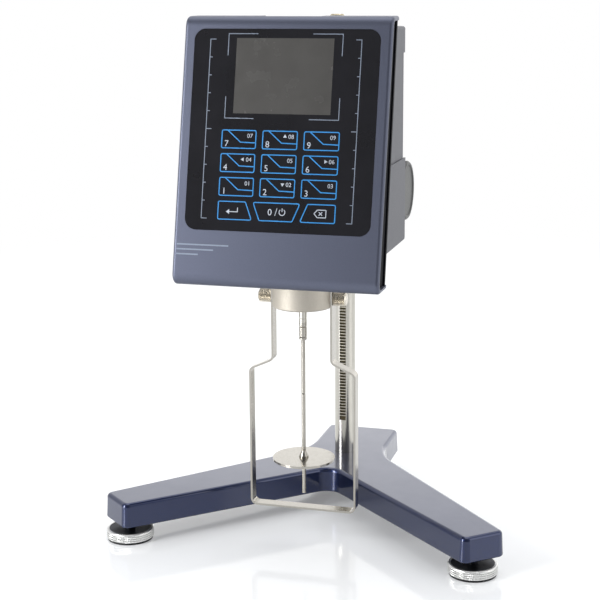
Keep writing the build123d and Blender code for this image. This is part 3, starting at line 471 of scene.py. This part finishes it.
class Print:
    """Collects flat shapes and makes one piece of slabs from them."""

    def __init__(self):
        self.points, self.faces = [], []

    def strip(self, left, right, closed=False):
        """A band between two lines of points."""
        first, count = len(self.points), len(left)
        for near, far in zip(left, right):
            for x, y in (near, far):
                self.points.append(on_front(x, y, -ink_sink))
                self.points.append(on_front(x, y, ink_height))
        runs = count if closed else count - 1
        for run in range(runs):
            a = first + 4 * run
            b = first + 4 * ((run + 1) % count)
            self.faces += [(a + 1, b + 1, b + 3, a + 3), (a, a + 2, b + 2, b)]
            self.faces += [(a, b, b + 1, a + 1), (a + 2, a + 3, b + 3, b + 2)]
        if not closed:
            end = first + 4 * (count - 1)
            self.faces += [(first, first + 1, first + 3, first + 2)]
            self.faces += [(end, end + 2, end + 3, end + 1)]

    def line(self, path, width, closed=False):
        """A line of even width along a path, mitred at its corners."""
        count = len(path)
        left, right = [], []
        for i, (x, y) in enumerate(path):
            back = path[i - 1] if closed or i else path[i]
            ahead = path[(i + 1) % count] if closed or i < count - 1 else path[i]
            if back == path[i]:
                back = (2 * x - ahead[0], 2 * y - ahead[1])
            if ahead == path[i]:
                ahead = (2 * x - back[0], 2 * y - back[1])
            into = Vector((x - back[0], y - back[1])).normalized()
            out = Vector((ahead[0] - x, ahead[1] - y)).normalized()
            across = Vector((-into.y - out.y, into.x + out.x))
            across = across / (across.length_squared / 2) * width / 2
            left.append((x + across.x, y + across.y))
            right.append((x - across.x, y - across.y))
        self.strip(left, right, closed)

    def patch(self, corners):
        """A filled shape with any number of corners."""
        first, count = len(self.points), len(corners)
        for x, y in corners:
            self.points.append(on_front(x, y, -ink_sink))
            self.points.append(on_front(x, y, ink_height))
        self.faces.append(tuple(first + 2 * i + 1 for i in range(count)))
        self.faces.append(tuple(first + 2 * i for i in reversed(range(count))))
        for i in range(count):
            a, b = first + 2 * i, first + 2 * ((i + 1) % count)
            self.faces.append((a, b, b + 1, a + 1))

    def make(self, name, slot_name):
        """Turns all that was collected into one piece of the head."""
        make_piece(name, self.points, self.faces, slot_name, "head")
        print(name, "has", len(self.faces), "faces")


# %% [markdown]
# Printed frames have small round corners. Each corner is cut where its arc would begin
# and end, and a curve through a few points joins the two cuts.

# %% Rounded corners
def rounded(corners, radius, steps=4):
    """Path round a shape whose corners are turned with arcs."""
    path = []
    for i, corner in enumerate(corners):
        here = Vector(corner)
        into = (here - Vector(corners[i - 1])).normalized()
        out = (Vector(corners[(i + 1) % len(corners)]) - here).normalized()
        turn = into.angle(out)
        cut = radius * (sin(turn / 2) / cos(turn / 2))
        start, end = here - into * cut, here + out * cut
        for step in range(steps + 1):
            t = step / steps
            point = start.lerp(here, t).lerp(here.lerp(end, t), t)
            path.append((point.x, point.y))
    return path

# %% [markdown]
# The keypad has nine keys in three rows and three wide keys below, outlined in light
# blue. Each of the nine has an inner line that parts its number from a smaller label.

# %% Key outlines
keypad_x = -0.6               # the keypad's middle, from the sheet's middle, in millimetres
column_pitch = 29.6
row_pitch = 16.45
top_row_y = -6.4
key_width, key_height = 24.6, 12.4
key_corner = 1.2
key_line = 0.7
bottom_row_y = -55.8
slant = 5.0                   # how far the wide keys' sides lean

outlines = Print()
for column in range(3):
    for row in range(3):
        x = keypad_x + (column - 1) * column_pitch
        y = top_row_y - row * row_pitch
        left, right = x - key_width / 2, x + key_width / 2
        low, high = y - key_height / 2, y + key_height / 2
        frame_path = [(left, low), (right, low), (right, high), (left, high)]
        # down from the upper edge, then level between the number and the label
        inner_path = [
            (left + 4.2, high - 0.2), (left + 13.6, high - 8.2), (right - 0.2, high - 8.5),
        ]
        outlines.line(rounded(frame_path, key_corner), key_line, closed=True)
        outlines.line(inner_path, key_line)
low, high = bottom_row_y - key_height / 2, bottom_row_y + key_height / 2
left_edge = keypad_x - column_pitch - key_width / 2
right_edge = keypad_x + column_pitch + key_width / 2
middle_low, middle_high = 16.8 - slant, 16.8      # half widths of the middle key
wide_keys = [
    [(left_edge, low), (left_edge + key_width, low),
     (left_edge + key_width - slant, high), (left_edge, high)],
    [(keypad_x - middle_low, low), (keypad_x + middle_low, low),
     (keypad_x + middle_high, high), (keypad_x - middle_high, high)],
    [(right_edge - key_width, low), (right_edge, low),
     (right_edge, high), (right_edge - key_width + slant, high)],
]
for corners in wide_keys:
    outlines.line(rounded(corners, key_corner), key_line, closed=True)
outlines.make("key_outlines", "blue_ink")

# %% [markdown]
# The numbers are plain digits. A text object gives their outlines, and its mesh is
# laid on the glass as ink of the same height as the lines.

# %% Digits
digit_share = 0.72            # a digit's height as a share of the font's size


def digits(name, entries, slot_name):
    """Digits on the front: each entry is the text, its left end, its foot and its height."""
    points, faces = [], []
    for text, x, y, height in entries:
        curve = bpy.data.curves.new("digits", "FONT")
        curve.body = text
        curve.size = height / digit_share
        curve.extrude = 0.5       # only parts the upper points from the lower ones
        curve.resolution_u = 3
        shape = bpy.data.objects.new("digits", curve)
        mesh = bpy.data.meshes.new_from_object(shape)
        first = len(points)
        for vertex in mesh.vertices:
            lift = ink_height if vertex.co.z > 0 else -ink_sink
            points.append(on_front(x + vertex.co.x, y + vertex.co.y, lift))
        for polygon in mesh.polygons:
            faces.append(tuple(first + i for i in polygon.vertices))
        bpy.data.objects.remove(shape)
        bpy.data.curves.remove(curve)
        bpy.data.meshes.remove(mesh)
    make_piece(name, points, faces, slot_name, "head")


number_height, label_height, zero_height = 4.4, 3.0, 4.6
numbers = []
for column in range(3):
    for row in range(3):
        number = 7 + column - 3 * row
        left = keypad_x + (column - 1) * column_pitch - key_width / 2
        low = top_row_y - row * row_pitch - key_height / 2
        label_left, label_foot = left + key_width - 6.4, low + key_height - 5.1
        numbers.append((str(number), left + 2.0, low + 1.1, number_height))
        numbers.append(("0" + str(number), label_left, label_foot, label_height))
numbers.append(("0", keypad_x - 6.0, bottom_row_y - zero_height / 2, zero_height))
digits("key_numbers", numbers, "white_ink")
print("numbers printed:", len(numbers))

# %% [markdown]
# Four keys also have an arrow. The three wide keys have the signs that such keypads
# use everywhere: return, on with a zero, and clear.

# %% Arrows and signs
signs = Print()
arrow = 1.5                   # from an arrow's middle to its corners
arrow_inset = 3.6             # from the key's middle and from its upper edge
for number_column, row, turn in ((1, 0, 90), (0, 1, 180), (2, 1, 0), (1, 2, 270)):
    x = keypad_x + (number_column - 1) * column_pitch + arrow_inset
    y = top_row_y - row * row_pitch + key_height / 2 - arrow_inset
    angles = [radians(corner + turn) for corner in (0, 120, 240)]
    signs.patch([(x + arrow * cos(angle), y + arrow * sin(angle)) for angle in angles])

sign_line = 0.55
sign_inset = 10.2             # from the keypad's side edges
x, y = left_edge + sign_inset, bottom_row_y
signs.line([(x + 4, y + 2.2), (x + 4, y - 0.8), (x - 2.2, y - 0.8)], sign_line)
signs.patch([(x - 2.0, y + 0.9), (x - 4.4, y - 0.8), (x - 2.0, y - 2.5)])

x = keypad_x + 4.4
ring_radius = 2.1             # an open ring with a bar, the sign for power
ring = [
    (x + ring_radius * sin(radians(angle)), y + ring_radius * cos(radians(angle)))
    for angle in range(35, 326, 15)
]
signs.line(ring, sign_line)
signs.line([(x, y + 2.7), (x, y + 0.3)], sign_line)
signs.line([(keypad_x - 0.7, y - 2.6), (keypad_x + 0.7, y + 2.6)], 0.4)

x = right_edge - sign_inset
tag = [
    (x - 4.6, y), (x - 2.2, y + 2.6), (x + 3.8, y + 2.6), (x + 3.8, y - 2.6), (x - 2.2, y - 2.6),
]
signs.line(rounded(tag, 0.4), sign_line, closed=True)
signs.line([(x - 1.2, y - 1.2), (x + 1.2, y + 1.2)], sign_line)
signs.line([(x - 1.2, y + 1.2), (x + 1.2, y - 1.2)], sign_line)
signs.make("key_signs", "white_ink")

# %% [markdown]
# The display shows through a clear window in the black print. It is drawn as a thin
# sheet that stands as high as the ink.

# %% Display window
window = Print()
screen_left, screen_right, screen_low, screen_high = -35.4, 34.2, 11.5, 63.6
window.patch([(screen_left, screen_low), (screen_right, screen_low),
              (screen_right, screen_high), (screen_left, screen_high)])
window.make("display_window", "display")

# %% [markdown]
# Fine light lines dress the glass around the display and the keypad. These are a plain
# set: four corner brackets round the display, and a rule with short ticks on each side.

# %% Trim lines
trim = Print()
trim_line = 0.5
gap_beside, gap_below, gap_above = 6.0, 3.4, 3.0      # between display and brackets
bracket_rise, bracket_run = 15.0, 21.0
for side_x, inner in ((screen_left - gap_beside, 1), (screen_right + gap_beside, -1)):
    for side_y, toward in ((screen_low - gap_below, 1), (screen_high + gap_above, -1)):
        upright_end = (side_x, side_y + toward * bracket_rise)
        level_end = (side_x + inner * bracket_run, side_y)
        trim.line([upright_end, (side_x, side_y), level_end], trim_line)

rule_x = 54.0                 # from the keypad's middle to each rule
rule_low, rule_high = -62.0, 63.0
tick_low, tick_pitch, ticks = -61.75, 12.45, 11
for inward in (1, -1):
    side_x = keypad_x - inward * rule_x
    trim.line([(side_x, rule_low), (side_x, rule_high)], trim_line)
    for step in range(ticks):
        length = 4 if step % 5 == 0 else 2
        tick_y = tick_low + tick_pitch * step
        trim.line([(side_x, tick_y), (side_x + inward * length, tick_y)], trim_line)
trim.make("trim_lines", "grey_ink")

# %% [markdown]
# The lower left of the cover has three light stripes of different lengths. They lie on
# the lacquer, which stands as high as the glass.

# %% Stripes on the cover
stripes = Print()
stripe_left, stripe_top, stripe_pitch, stripe_width = -71.5, -80.5, 3.4, 1.0
for step, length in enumerate((38, 27, 16)):
    stripe_y = stripe_top - stripe_pitch * step
    stripes.line([(stripe_left, stripe_y), (stripe_left + length, stripe_y)], stripe_width)
stripes.make("cover_stripes", "grey_ink")

# %% [markdown]
# Turned pieces are rings of points round an axis. Each ring has a radius, a place
# along the axis, and the depth of the cut that is knurled into it. Where every second
# point sinks, the rim gets straight ribs. Where the sunk points shift by one from ring
# to ring, the rim gets the small pyramids of a diamond knurl.

# %% Turning helper
def turned(name, rings, count, middle, axis, slot_name, body, diamond=False):
    """A turned piece from rings of (radius, place along the axis, cut), in millimetres."""
    axis = Vector(axis)
    side = Vector((0, 1, 0)) if abs(axis.x) > 0.5 else Vector((1, 0, 0))
    up = axis.cross(side)
    points, faces = [], []
    for row, (radius, along, cut) in enumerate(rings):
        for step in range(count):
            sunk = (step + row) % 2 if diamond else step % 2
            r = (radius - cut * sunk) * mm
            angle = 2 * pi * step / count
            points.append(middle + axis * along * mm + side * r * cos(angle) + up * r * sin(angle))
    for row in range(len(rings) - 1):
        cut_here = rings[row][2] and rings[row + 1][2]
        for step in range(count):
            ahead = (step + 1) % count
            a, b = row * count + step, row * count + ahead
            c, d = b + count, a + count
            if not (diamond and cut_here):
                faces.append((a, b, c, d))
            elif (step + row) % 2:
                faces += [(a, b, c), (a, c, d)]
            else:
                faces += [(a, b, d), (b, c, d)]
    faces.append(tuple(reversed(range(count))))
    faces.append(tuple(range((len(rings) - 1) * count, len(rings) * count)))
    return make_piece(name, points, faces, slot_name, body, soft_angle=28)

# %% [markdown]
# Two thumbscrews hold the guard. Their heads have a diamond knurl between two plain
# bevelled ends. A real knurl has a pitch near 0.8 mm, and it is cut at 1.3 mm to show.

# %% Thumbscrews
knurl_rows, knurl_length, knurl_depth = 14, 8.6, 0.5
for side, word in ((-1, "left"), (1, "right")):
    low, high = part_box("thumbscrew_" + word)
    radius = (high.z - low.z) / 2 / mm
    middle = Vector((low.x if side < 0 else high.x, (low.y + high.y) / 2, (low.z + high.z) / 2))
    rings = [(radius - 1.2, 0, 0), (radius - 0.7, -0.5, 0)]
    for row in range(knurl_rows + 1):
        rings.append((radius, -0.9 - row * knurl_length / knurl_rows, knurl_depth))
    rings += [(radius - 0.6, -10, 0), (2.0, -10, 0), (2.0, -17.5, 0)]
    screw = turned("thumbscrew_head_" + word, rings, 60, middle, (side, 0, 0), "thumb_steel",
                   "guard_screw_" + word, diamond=True)
    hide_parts("thumbscrew_" + word)
print("thumbscrews knurled")

# %% [markdown]
# The three levelling feet are turned discs with a plated rim. Three grooves cross its
# fine straight ribs. The hollow top and the stud are drawn dark, a painted shade and
# painted reflection of the dark base above them.

# %% Feet
rib_depth, band_height, band_pitch = 0.3, 0.95, 1.6
groove_depth = 1.3
for word in ("left", "right", "rear"):
    low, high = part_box("foot_disc_" + word)
    radius = (high.x - low.x) / 2 / mm
    middle = Vector(((low.x + high.x) / 2, (low.y + high.y) / 2, low.z))
    rings = [(radius - 1.0, 0, 0), (radius - 0.4, 0.4, 0)]
    for band in range(4):
        start = 0.45 + band_pitch * band
        rings += [(radius, start, rib_depth), (radius, start + band_height, rib_depth)]
        if band < 3:
            bottom = radius - groove_depth
            rings += [(bottom, start + 1.0, 0), (bottom, start + 1.55, 0)]
    rings += [
        (radius - 0.3, 6.6, 0), (radius - 0.8, 7.0, 0),
        (radius - 2.2, 7.0, 0), (radius - 2.4, 6.5, 0),
    ]
    foot = turned("foot_ribbed_" + word, rings, 168, middle, (0, 0, 1), "knurled_steel",
                  "foot_" + word)
    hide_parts("foot_disc_" + word)
    rings = [(radius - 2.45, 6.3, 0), (radius - 2.45, 6.7, 0), (radius - 5.0, 6.6, 0),
             (4.0, 7.0, 0), (4.0, (high.z - low.z) / mm, 0)]
    # dark as a painted shade and painted reflection under the base
    turned("foot_stud_" + word, rings, 72, middle, (0, 0, 1), "foot_steel",
           "foot_" + word)
print("feet ribbed")

# %% [markdown]
# The height knob is moulded, with fine ribs round its rim, a bevel and a flat face
# with a shallow ring in it.

# %% Height knob
low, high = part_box("height_knob")
radius = (high.z - low.z) / 2 / mm
middle = Vector((high.x, (low.y + high.y) / 2, (low.z + high.z) / 2))
back = (low.x - high.x) / mm
rings = [
    (3.0, -0.9, 0), (radius - 3.6, -0.9, 0), (radius - 2.8, 0, 0), (radius - 1.3, 0, 0),
    (radius - 0.4, -0.9, 0), (radius, -1.6, 0.5), (radius, -13.2, 0.5), (radius - 1.0, -14, 0),
    (8.0, -14, 0), (8.0, back, 0), (4.1, back, 0),
]
knob = turned("height_knob_ribbed", rings, 144, middle, (1, 0, 0), "knob_plastic",
              "knob")
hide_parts("height_knob")
print("knob of", round(2 * radius, 1), "mm")

# %% [markdown]
# Small screws hold the rear panel and the bottom plate. They are
# button heads with a hexagon socket, 5.5 mm across.

# %% Screw heads
def screw_heads(name, places, axis, body):
    """Button heads on a plate, each with its hexagon socket, as one piece."""
    axis = Vector(axis)
    side = Vector((0, 0, 1)) if abs(axis.z) < 0.5 else Vector((1, 0, 0))
    up = axis.cross(side)
    rings = [
        # radius, place along the axis, whether it belongs to the hexagon
        (1.3, 0.5, True), (1.3, 1.5, True), (1.8, 1.55, False), (2.4, 1.2, False),
        (2.75, 0.6, False), (2.75, -0.3, False),
    ]
    steps = 24
    points, faces = [], []
    for place in places:
        first = len(points)
        for radius, along, hexagon in rings:
            for step in range(steps):
                angle = 2 * pi * step / steps
                reach = radius
                if hexagon:
                    reach = radius * cos(pi / 6) / cos((angle % (pi / 3)) - pi / 6)
                points.append(Vector(place) + axis * along * mm
                              + side * reach * mm * cos(angle) + up * reach * mm * sin(angle))
        for row in range(len(rings) - 1):
            for step in range(steps):
                a = first + row * steps + step
                b = first + row * steps + (step + 1) % steps
                faces.append((a, b, b + steps, a + steps))
        last = first + (len(rings) - 1) * steps
        faces.append(tuple(range(first, first + steps)))
        faces.append(tuple(reversed(range(last, last + steps))))
    make_piece(name, points, faces, "screw_steel", body)


edge = 6 * mm
low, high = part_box("rear_panel")
screw_heads("rear_panel_screws", [
    (x, high.y, z) for x in (low.x + edge, high.x - edge) for z in (low.z + edge, high.z - edge)
], (0, 1, 0), "head")
low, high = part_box("bottom_plate")
screw_heads("bottom_plate_screws", [
    (x, high.y - 2 * edge, low.z) for x in (low.x + 2 * edge, high.x - 2 * edge)
], (0, 0, -1), "head")
print("screw heads: 6")

# %% [markdown]
# The power switch carries the common signs for on and off, printed on the two slopes
# of its rocker, which dips towards its middle.

# %% Switch signs
def ring_faces(first, rings, steps):
    """Faces between rings of points, each to the next one and the last to the first."""
    faces = []
    for row in range(rings):
        here, beyond = first + row * steps, first + (row + 1) % rings * steps
        for step in range(steps):
            ahead = (step + 1) % steps
            faces.append((here + step, here + ahead, beyond + ahead, beyond + step))
    return faces


low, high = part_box("switch_rocker")
middle = (low + high) / 2
dip = 0.83          # the middle of the face lies this far below its ends
slope = 0.155


def on_rocker(x, z, lift):
    """A point over the rocker's face, in millimetres from the face's middle."""
    return middle + Vector((x, 0, z)) * mm + Vector((
        0, high.y - middle.y + (slope * abs(z) - dip + lift) * mm, 0,
    ))


sign_z = 3.4        # of each sign's middle, above and below the rocker's middle
under, over = -0.1, 0.08
bar = [(-0.4, sign_z - 1.5), (0.4, sign_z - 1.5), (0.4, sign_z + 1.5), (-0.4, sign_z + 1.5)]
points = [on_rocker(x, z, lift) for lift in (under, over) for x, z in bar]
faces = [(0, 3, 2, 1), (4, 5, 6, 7)]
faces += [(i, (i + 1) % 4, (i + 1) % 4 + 4, i + 4) for i in range(4)]
ring = [(1.7, under), (1.7, over), (1.0, over), (1.0, under)]
steps = 32
faces += ring_faces(len(points), len(ring), steps)
for radius, lift in ring:
    for step in range(steps):
        angle = 2 * pi * step / steps
        points.append(on_rocker(radius * cos(angle), radius * sin(angle) - sign_z, lift))
make_piece("switch_signs", points, faces, "white_ink", "switch")
print("signs on the rocker at", sign_z, "mm from its middle")

# %% [markdown]
# The round spirit level has a cup with a rounded shoulder and a small window over the
# yellow green liquid. Both are turned pieces, and the window sits just below the rim.

# %% Spirit level
low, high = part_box("level_ring")
middle = Vector(((low.x + high.x) / 2, (low.y + high.y) / 2, low.z))
rings = [
    (7.3, 0, 0), (7.5, 0.2, 0), (7.5, 5.6, 0), (7.1, 6.6, 0), (6.2, 7.6, 0), (5.3, 8.6, 0),
    (4.9, 9.5, 0), (4.6, 9.9, 0), (4.4, 10, 0), (4.2, 9.9, 0), (4.15, 9.0, 0),
]
cup = turned("level_cup", rings, 48, middle, (0, 0, 1), "level_metal", "head")
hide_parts("level_ring")
rings = [(4.12, 9.02, 0), (4.12, 9.4, 0), (3.95, 9.6, 0)]
liquid = turned("level_window", rings, 48, middle, (0, 0, 1), "level_liquid",
                "head")
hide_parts("level_vial")
print("level window:", 2 * rings[0][0], "mm across")

# %% [markdown]
# A black ring is printed on the window, and the bubble stands in it when the instrument
# is level. It is a flat band with a little height, so it is a real shape as well.

# %% Centring ring
low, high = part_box("level_vial")
middle = Vector(((low.x + high.x) / 2, (low.y + high.y) / 2, high.z))
ring = [(2.9, -0.1), (2.9, 0.05), (2.6, 0.05), (2.6, -0.1)]
steps = 48
points = []
for radius, along in ring:
    for step in range(steps):
        angle = 2 * pi * step / steps
        points.append(middle + Vector((radius * cos(angle), radius * sin(angle), along)) * mm)
faces = ring_faces(0, len(ring), steps)
make_piece("level_ring_mark", points, faces, "black_plastic", "head")
print("centring ring:", 2 * ring[0][0], "mm across")

# %% [markdown]
# The floor is a white, slightly glossy sheet, so the feet mirror in it. It is made
# brighter for the eye of the camera than for the object, and keeps the shadow. From
# 0.5 m to 1.3 m from its middle it passes into the white of the room, so no horizon shows.

# %% Floor
floor_size = 6.0
floor_glow = 0.2
fade_start, fade_end = 0.5, 1.3
mesh = bpy.data.meshes.new("floor")
mesh.from_pydata([(-floor_size, -floor_size, 0), (floor_size, -floor_size, 0),
                  (floor_size, floor_size, 0), (-floor_size, floor_size, 0)], [], [(0, 1, 2, 3)])
floor = bpy.data.objects.new("floor", mesh)
bpy.context.scene.collection.objects.link(floor)


def seen_rays(tree):
    """One for the rays that carry the background to the eye, straight or by a mirror or glass."""
    path = add(tree, "ShaderNodeLightPath")
    either = add(tree, "ShaderNodeMath", {
        0: path.outputs["Is Camera Ray"], 1: path.outputs["Is Glossy Ray"],
    }, operation="MAXIMUM")
    return add(tree, "ShaderNodeMath", {
        0: either.outputs[0], 1: path.outputs["Is Transmission Ray"],
    }, operation="MAXIMUM").outputs[0]


material = bpy.data.materials.new("white_acrylic_floor")
material.use_nodes = True
tree = material.node_tree
tree.nodes.clear()
sheet = add(tree, "ShaderNodeBsdfPrincipled", {
    "Base Color": colour("#e4e6e8"), "Roughness": 0.1, "IOR": 1.49,
})
glow = add(tree, "ShaderNodeEmission", {"Color": colour("#ffffff")})
lift = add(tree, "ShaderNodeMath", {0: seen_rays(tree), 1: floor_glow}, operation="MULTIPLY")
tree.links.new(lift.outputs[0], glow.inputs["Strength"])
both = add(tree, "ShaderNodeAddShader", {0: sheet.outputs[0], 1: glow.outputs[0]})
place = add(tree, "ShaderNodeTexCoord").outputs["Object"]
reach = add(tree, "ShaderNodeVectorMath", {0: place}, operation="LENGTH").outputs["Value"]
fade = add(tree, "ShaderNodeMapRange", {
    "Value": reach, "From Min": fade_start, "From Max": fade_end,
}, interpolation_type="SMOOTHSTEP")
eye = add(tree, "ShaderNodeLightPath").outputs["Is Camera Ray"]
share = add(tree, "ShaderNodeMath", {0: fade.outputs[0], 1: eye}, operation="MULTIPLY")
room_white = add(tree, "ShaderNodeEmission", {"Color": colour("#ffffff"), "Strength": 1.0})
sheet_or_room = add(tree, "ShaderNodeMixShader", {
    0: share.outputs[0], 1: both.outputs[0], 2: room_white.outputs[0],
})
add(tree, "ShaderNodeOutputMaterial", {"Surface": sheet_or_room.outputs[0]})
mesh.materials.append(material)
print("floor:", 2 * floor_size, "m wide")

# %% [markdown]
# The studio is a pale room, darker behind the camera, so the black glass stays black
# and the metals get dark and light bands. Low down behind the object its wall is
# brighter still. Only mirrored and scattered light sees this room: the camera's own
# rays see plain white.

# %% World
room_dark, room_bright = (0.14, 0.14, 0.15, 1), (1, 1, 1, 1)      # linear light
wall_boost = 0.6
world = bpy.data.worlds.new("studio")
bpy.context.scene.world = world
world.use_nodes = True
tree = world.node_tree
tree.nodes.clear()
direction = add(tree, "ShaderNodeTexCoord").outputs["Generated"]
parts = add(tree, "ShaderNodeSeparateXYZ", {"Vector": direction})
ramp = add(tree, "ShaderNodeValToRGB", {"Fac": add(tree, "ShaderNodeMapRange", {
    "Value": parts.outputs["Y"], "From Min": -1.0, "From Max": 1.0,
}).outputs[0]})
ramp.color_ramp.elements[0].position = 0.04
ramp.color_ramp.elements[0].color = room_dark
ramp.color_ramp.elements[1].position = 0.8
ramp.color_ramp.elements[1].color = room_bright
low_wall = add(tree, "ShaderNodeMapRange", {
    "Value": parts.outputs["Z"], "From Min": 0.45, "From Max": 0.3,
})
behind = add(tree, "ShaderNodeMapRange", {
    "Value": parts.outputs["Y"], "From Min": 0.75, "From Max": 0.9,
})
backdrop = add(tree, "ShaderNodeMath", {
    0: low_wall.outputs[0], 1: behind.outputs[0],
}, operation="MULTIPLY")
level = add(tree, "ShaderNodeMath", {0: backdrop.outputs[0], 1: wall_boost, 2: 1.0},
            operation="MULTIPLY_ADD")
room = add(tree, "ShaderNodeBackground", {"Color": ramp.outputs[0], "Strength": level.outputs[0]})
white = add(tree, "ShaderNodeBackground", {"Color": room_bright, "Strength": 1.0})
eye = add(tree, "ShaderNodeLightPath").outputs["Is Camera Ray"]
mixed = add(tree, "ShaderNodeMixShader", {0: eye, 1: room.outputs[0], 2: white.outputs[0]})
add(tree, "ShaderNodeOutputWorld", {"Surface": mixed.outputs[0]})
print("world:", world.name)

# %% [markdown]
# Three soft lamps: a tall, narrow key from the left, a weaker fill from the right and
# a broad one above. Large lamps give soft shadows and broad lights on satin paint.

# %% Lamps
def lamp(name, place, aim, width, height, power):
    """A soft rectangular lamp that looks at a point."""
    light = bpy.data.lights.new(name, "AREA")
    light.shape = "RECTANGLE"
    light.size, light.size_y = width, height
    light.energy = power
    body = bpy.data.objects.new(name, light)
    body.location = place
    body.rotation_euler = (Vector(aim) - Vector(place)).to_track_quat("-Z", "Y").to_euler()
    bpy.context.scene.collection.objects.link(body)
    print(name, "lamp:", power, "W")


aim = (0, -0.03, 0.2)
lamp("key_left", (-0.8, -0.85, 0.42), aim, 0.35, 0.9, 12)
lamp("fill_right", (1.5, -0.2, 0.7), aim, 1.0, 1.2, 5)
lamp("top", (0, 0.3, 1.9), aim, 1.6, 1.4, 10)
bpy.context.scene.view_settings.view_transform = "Standard"
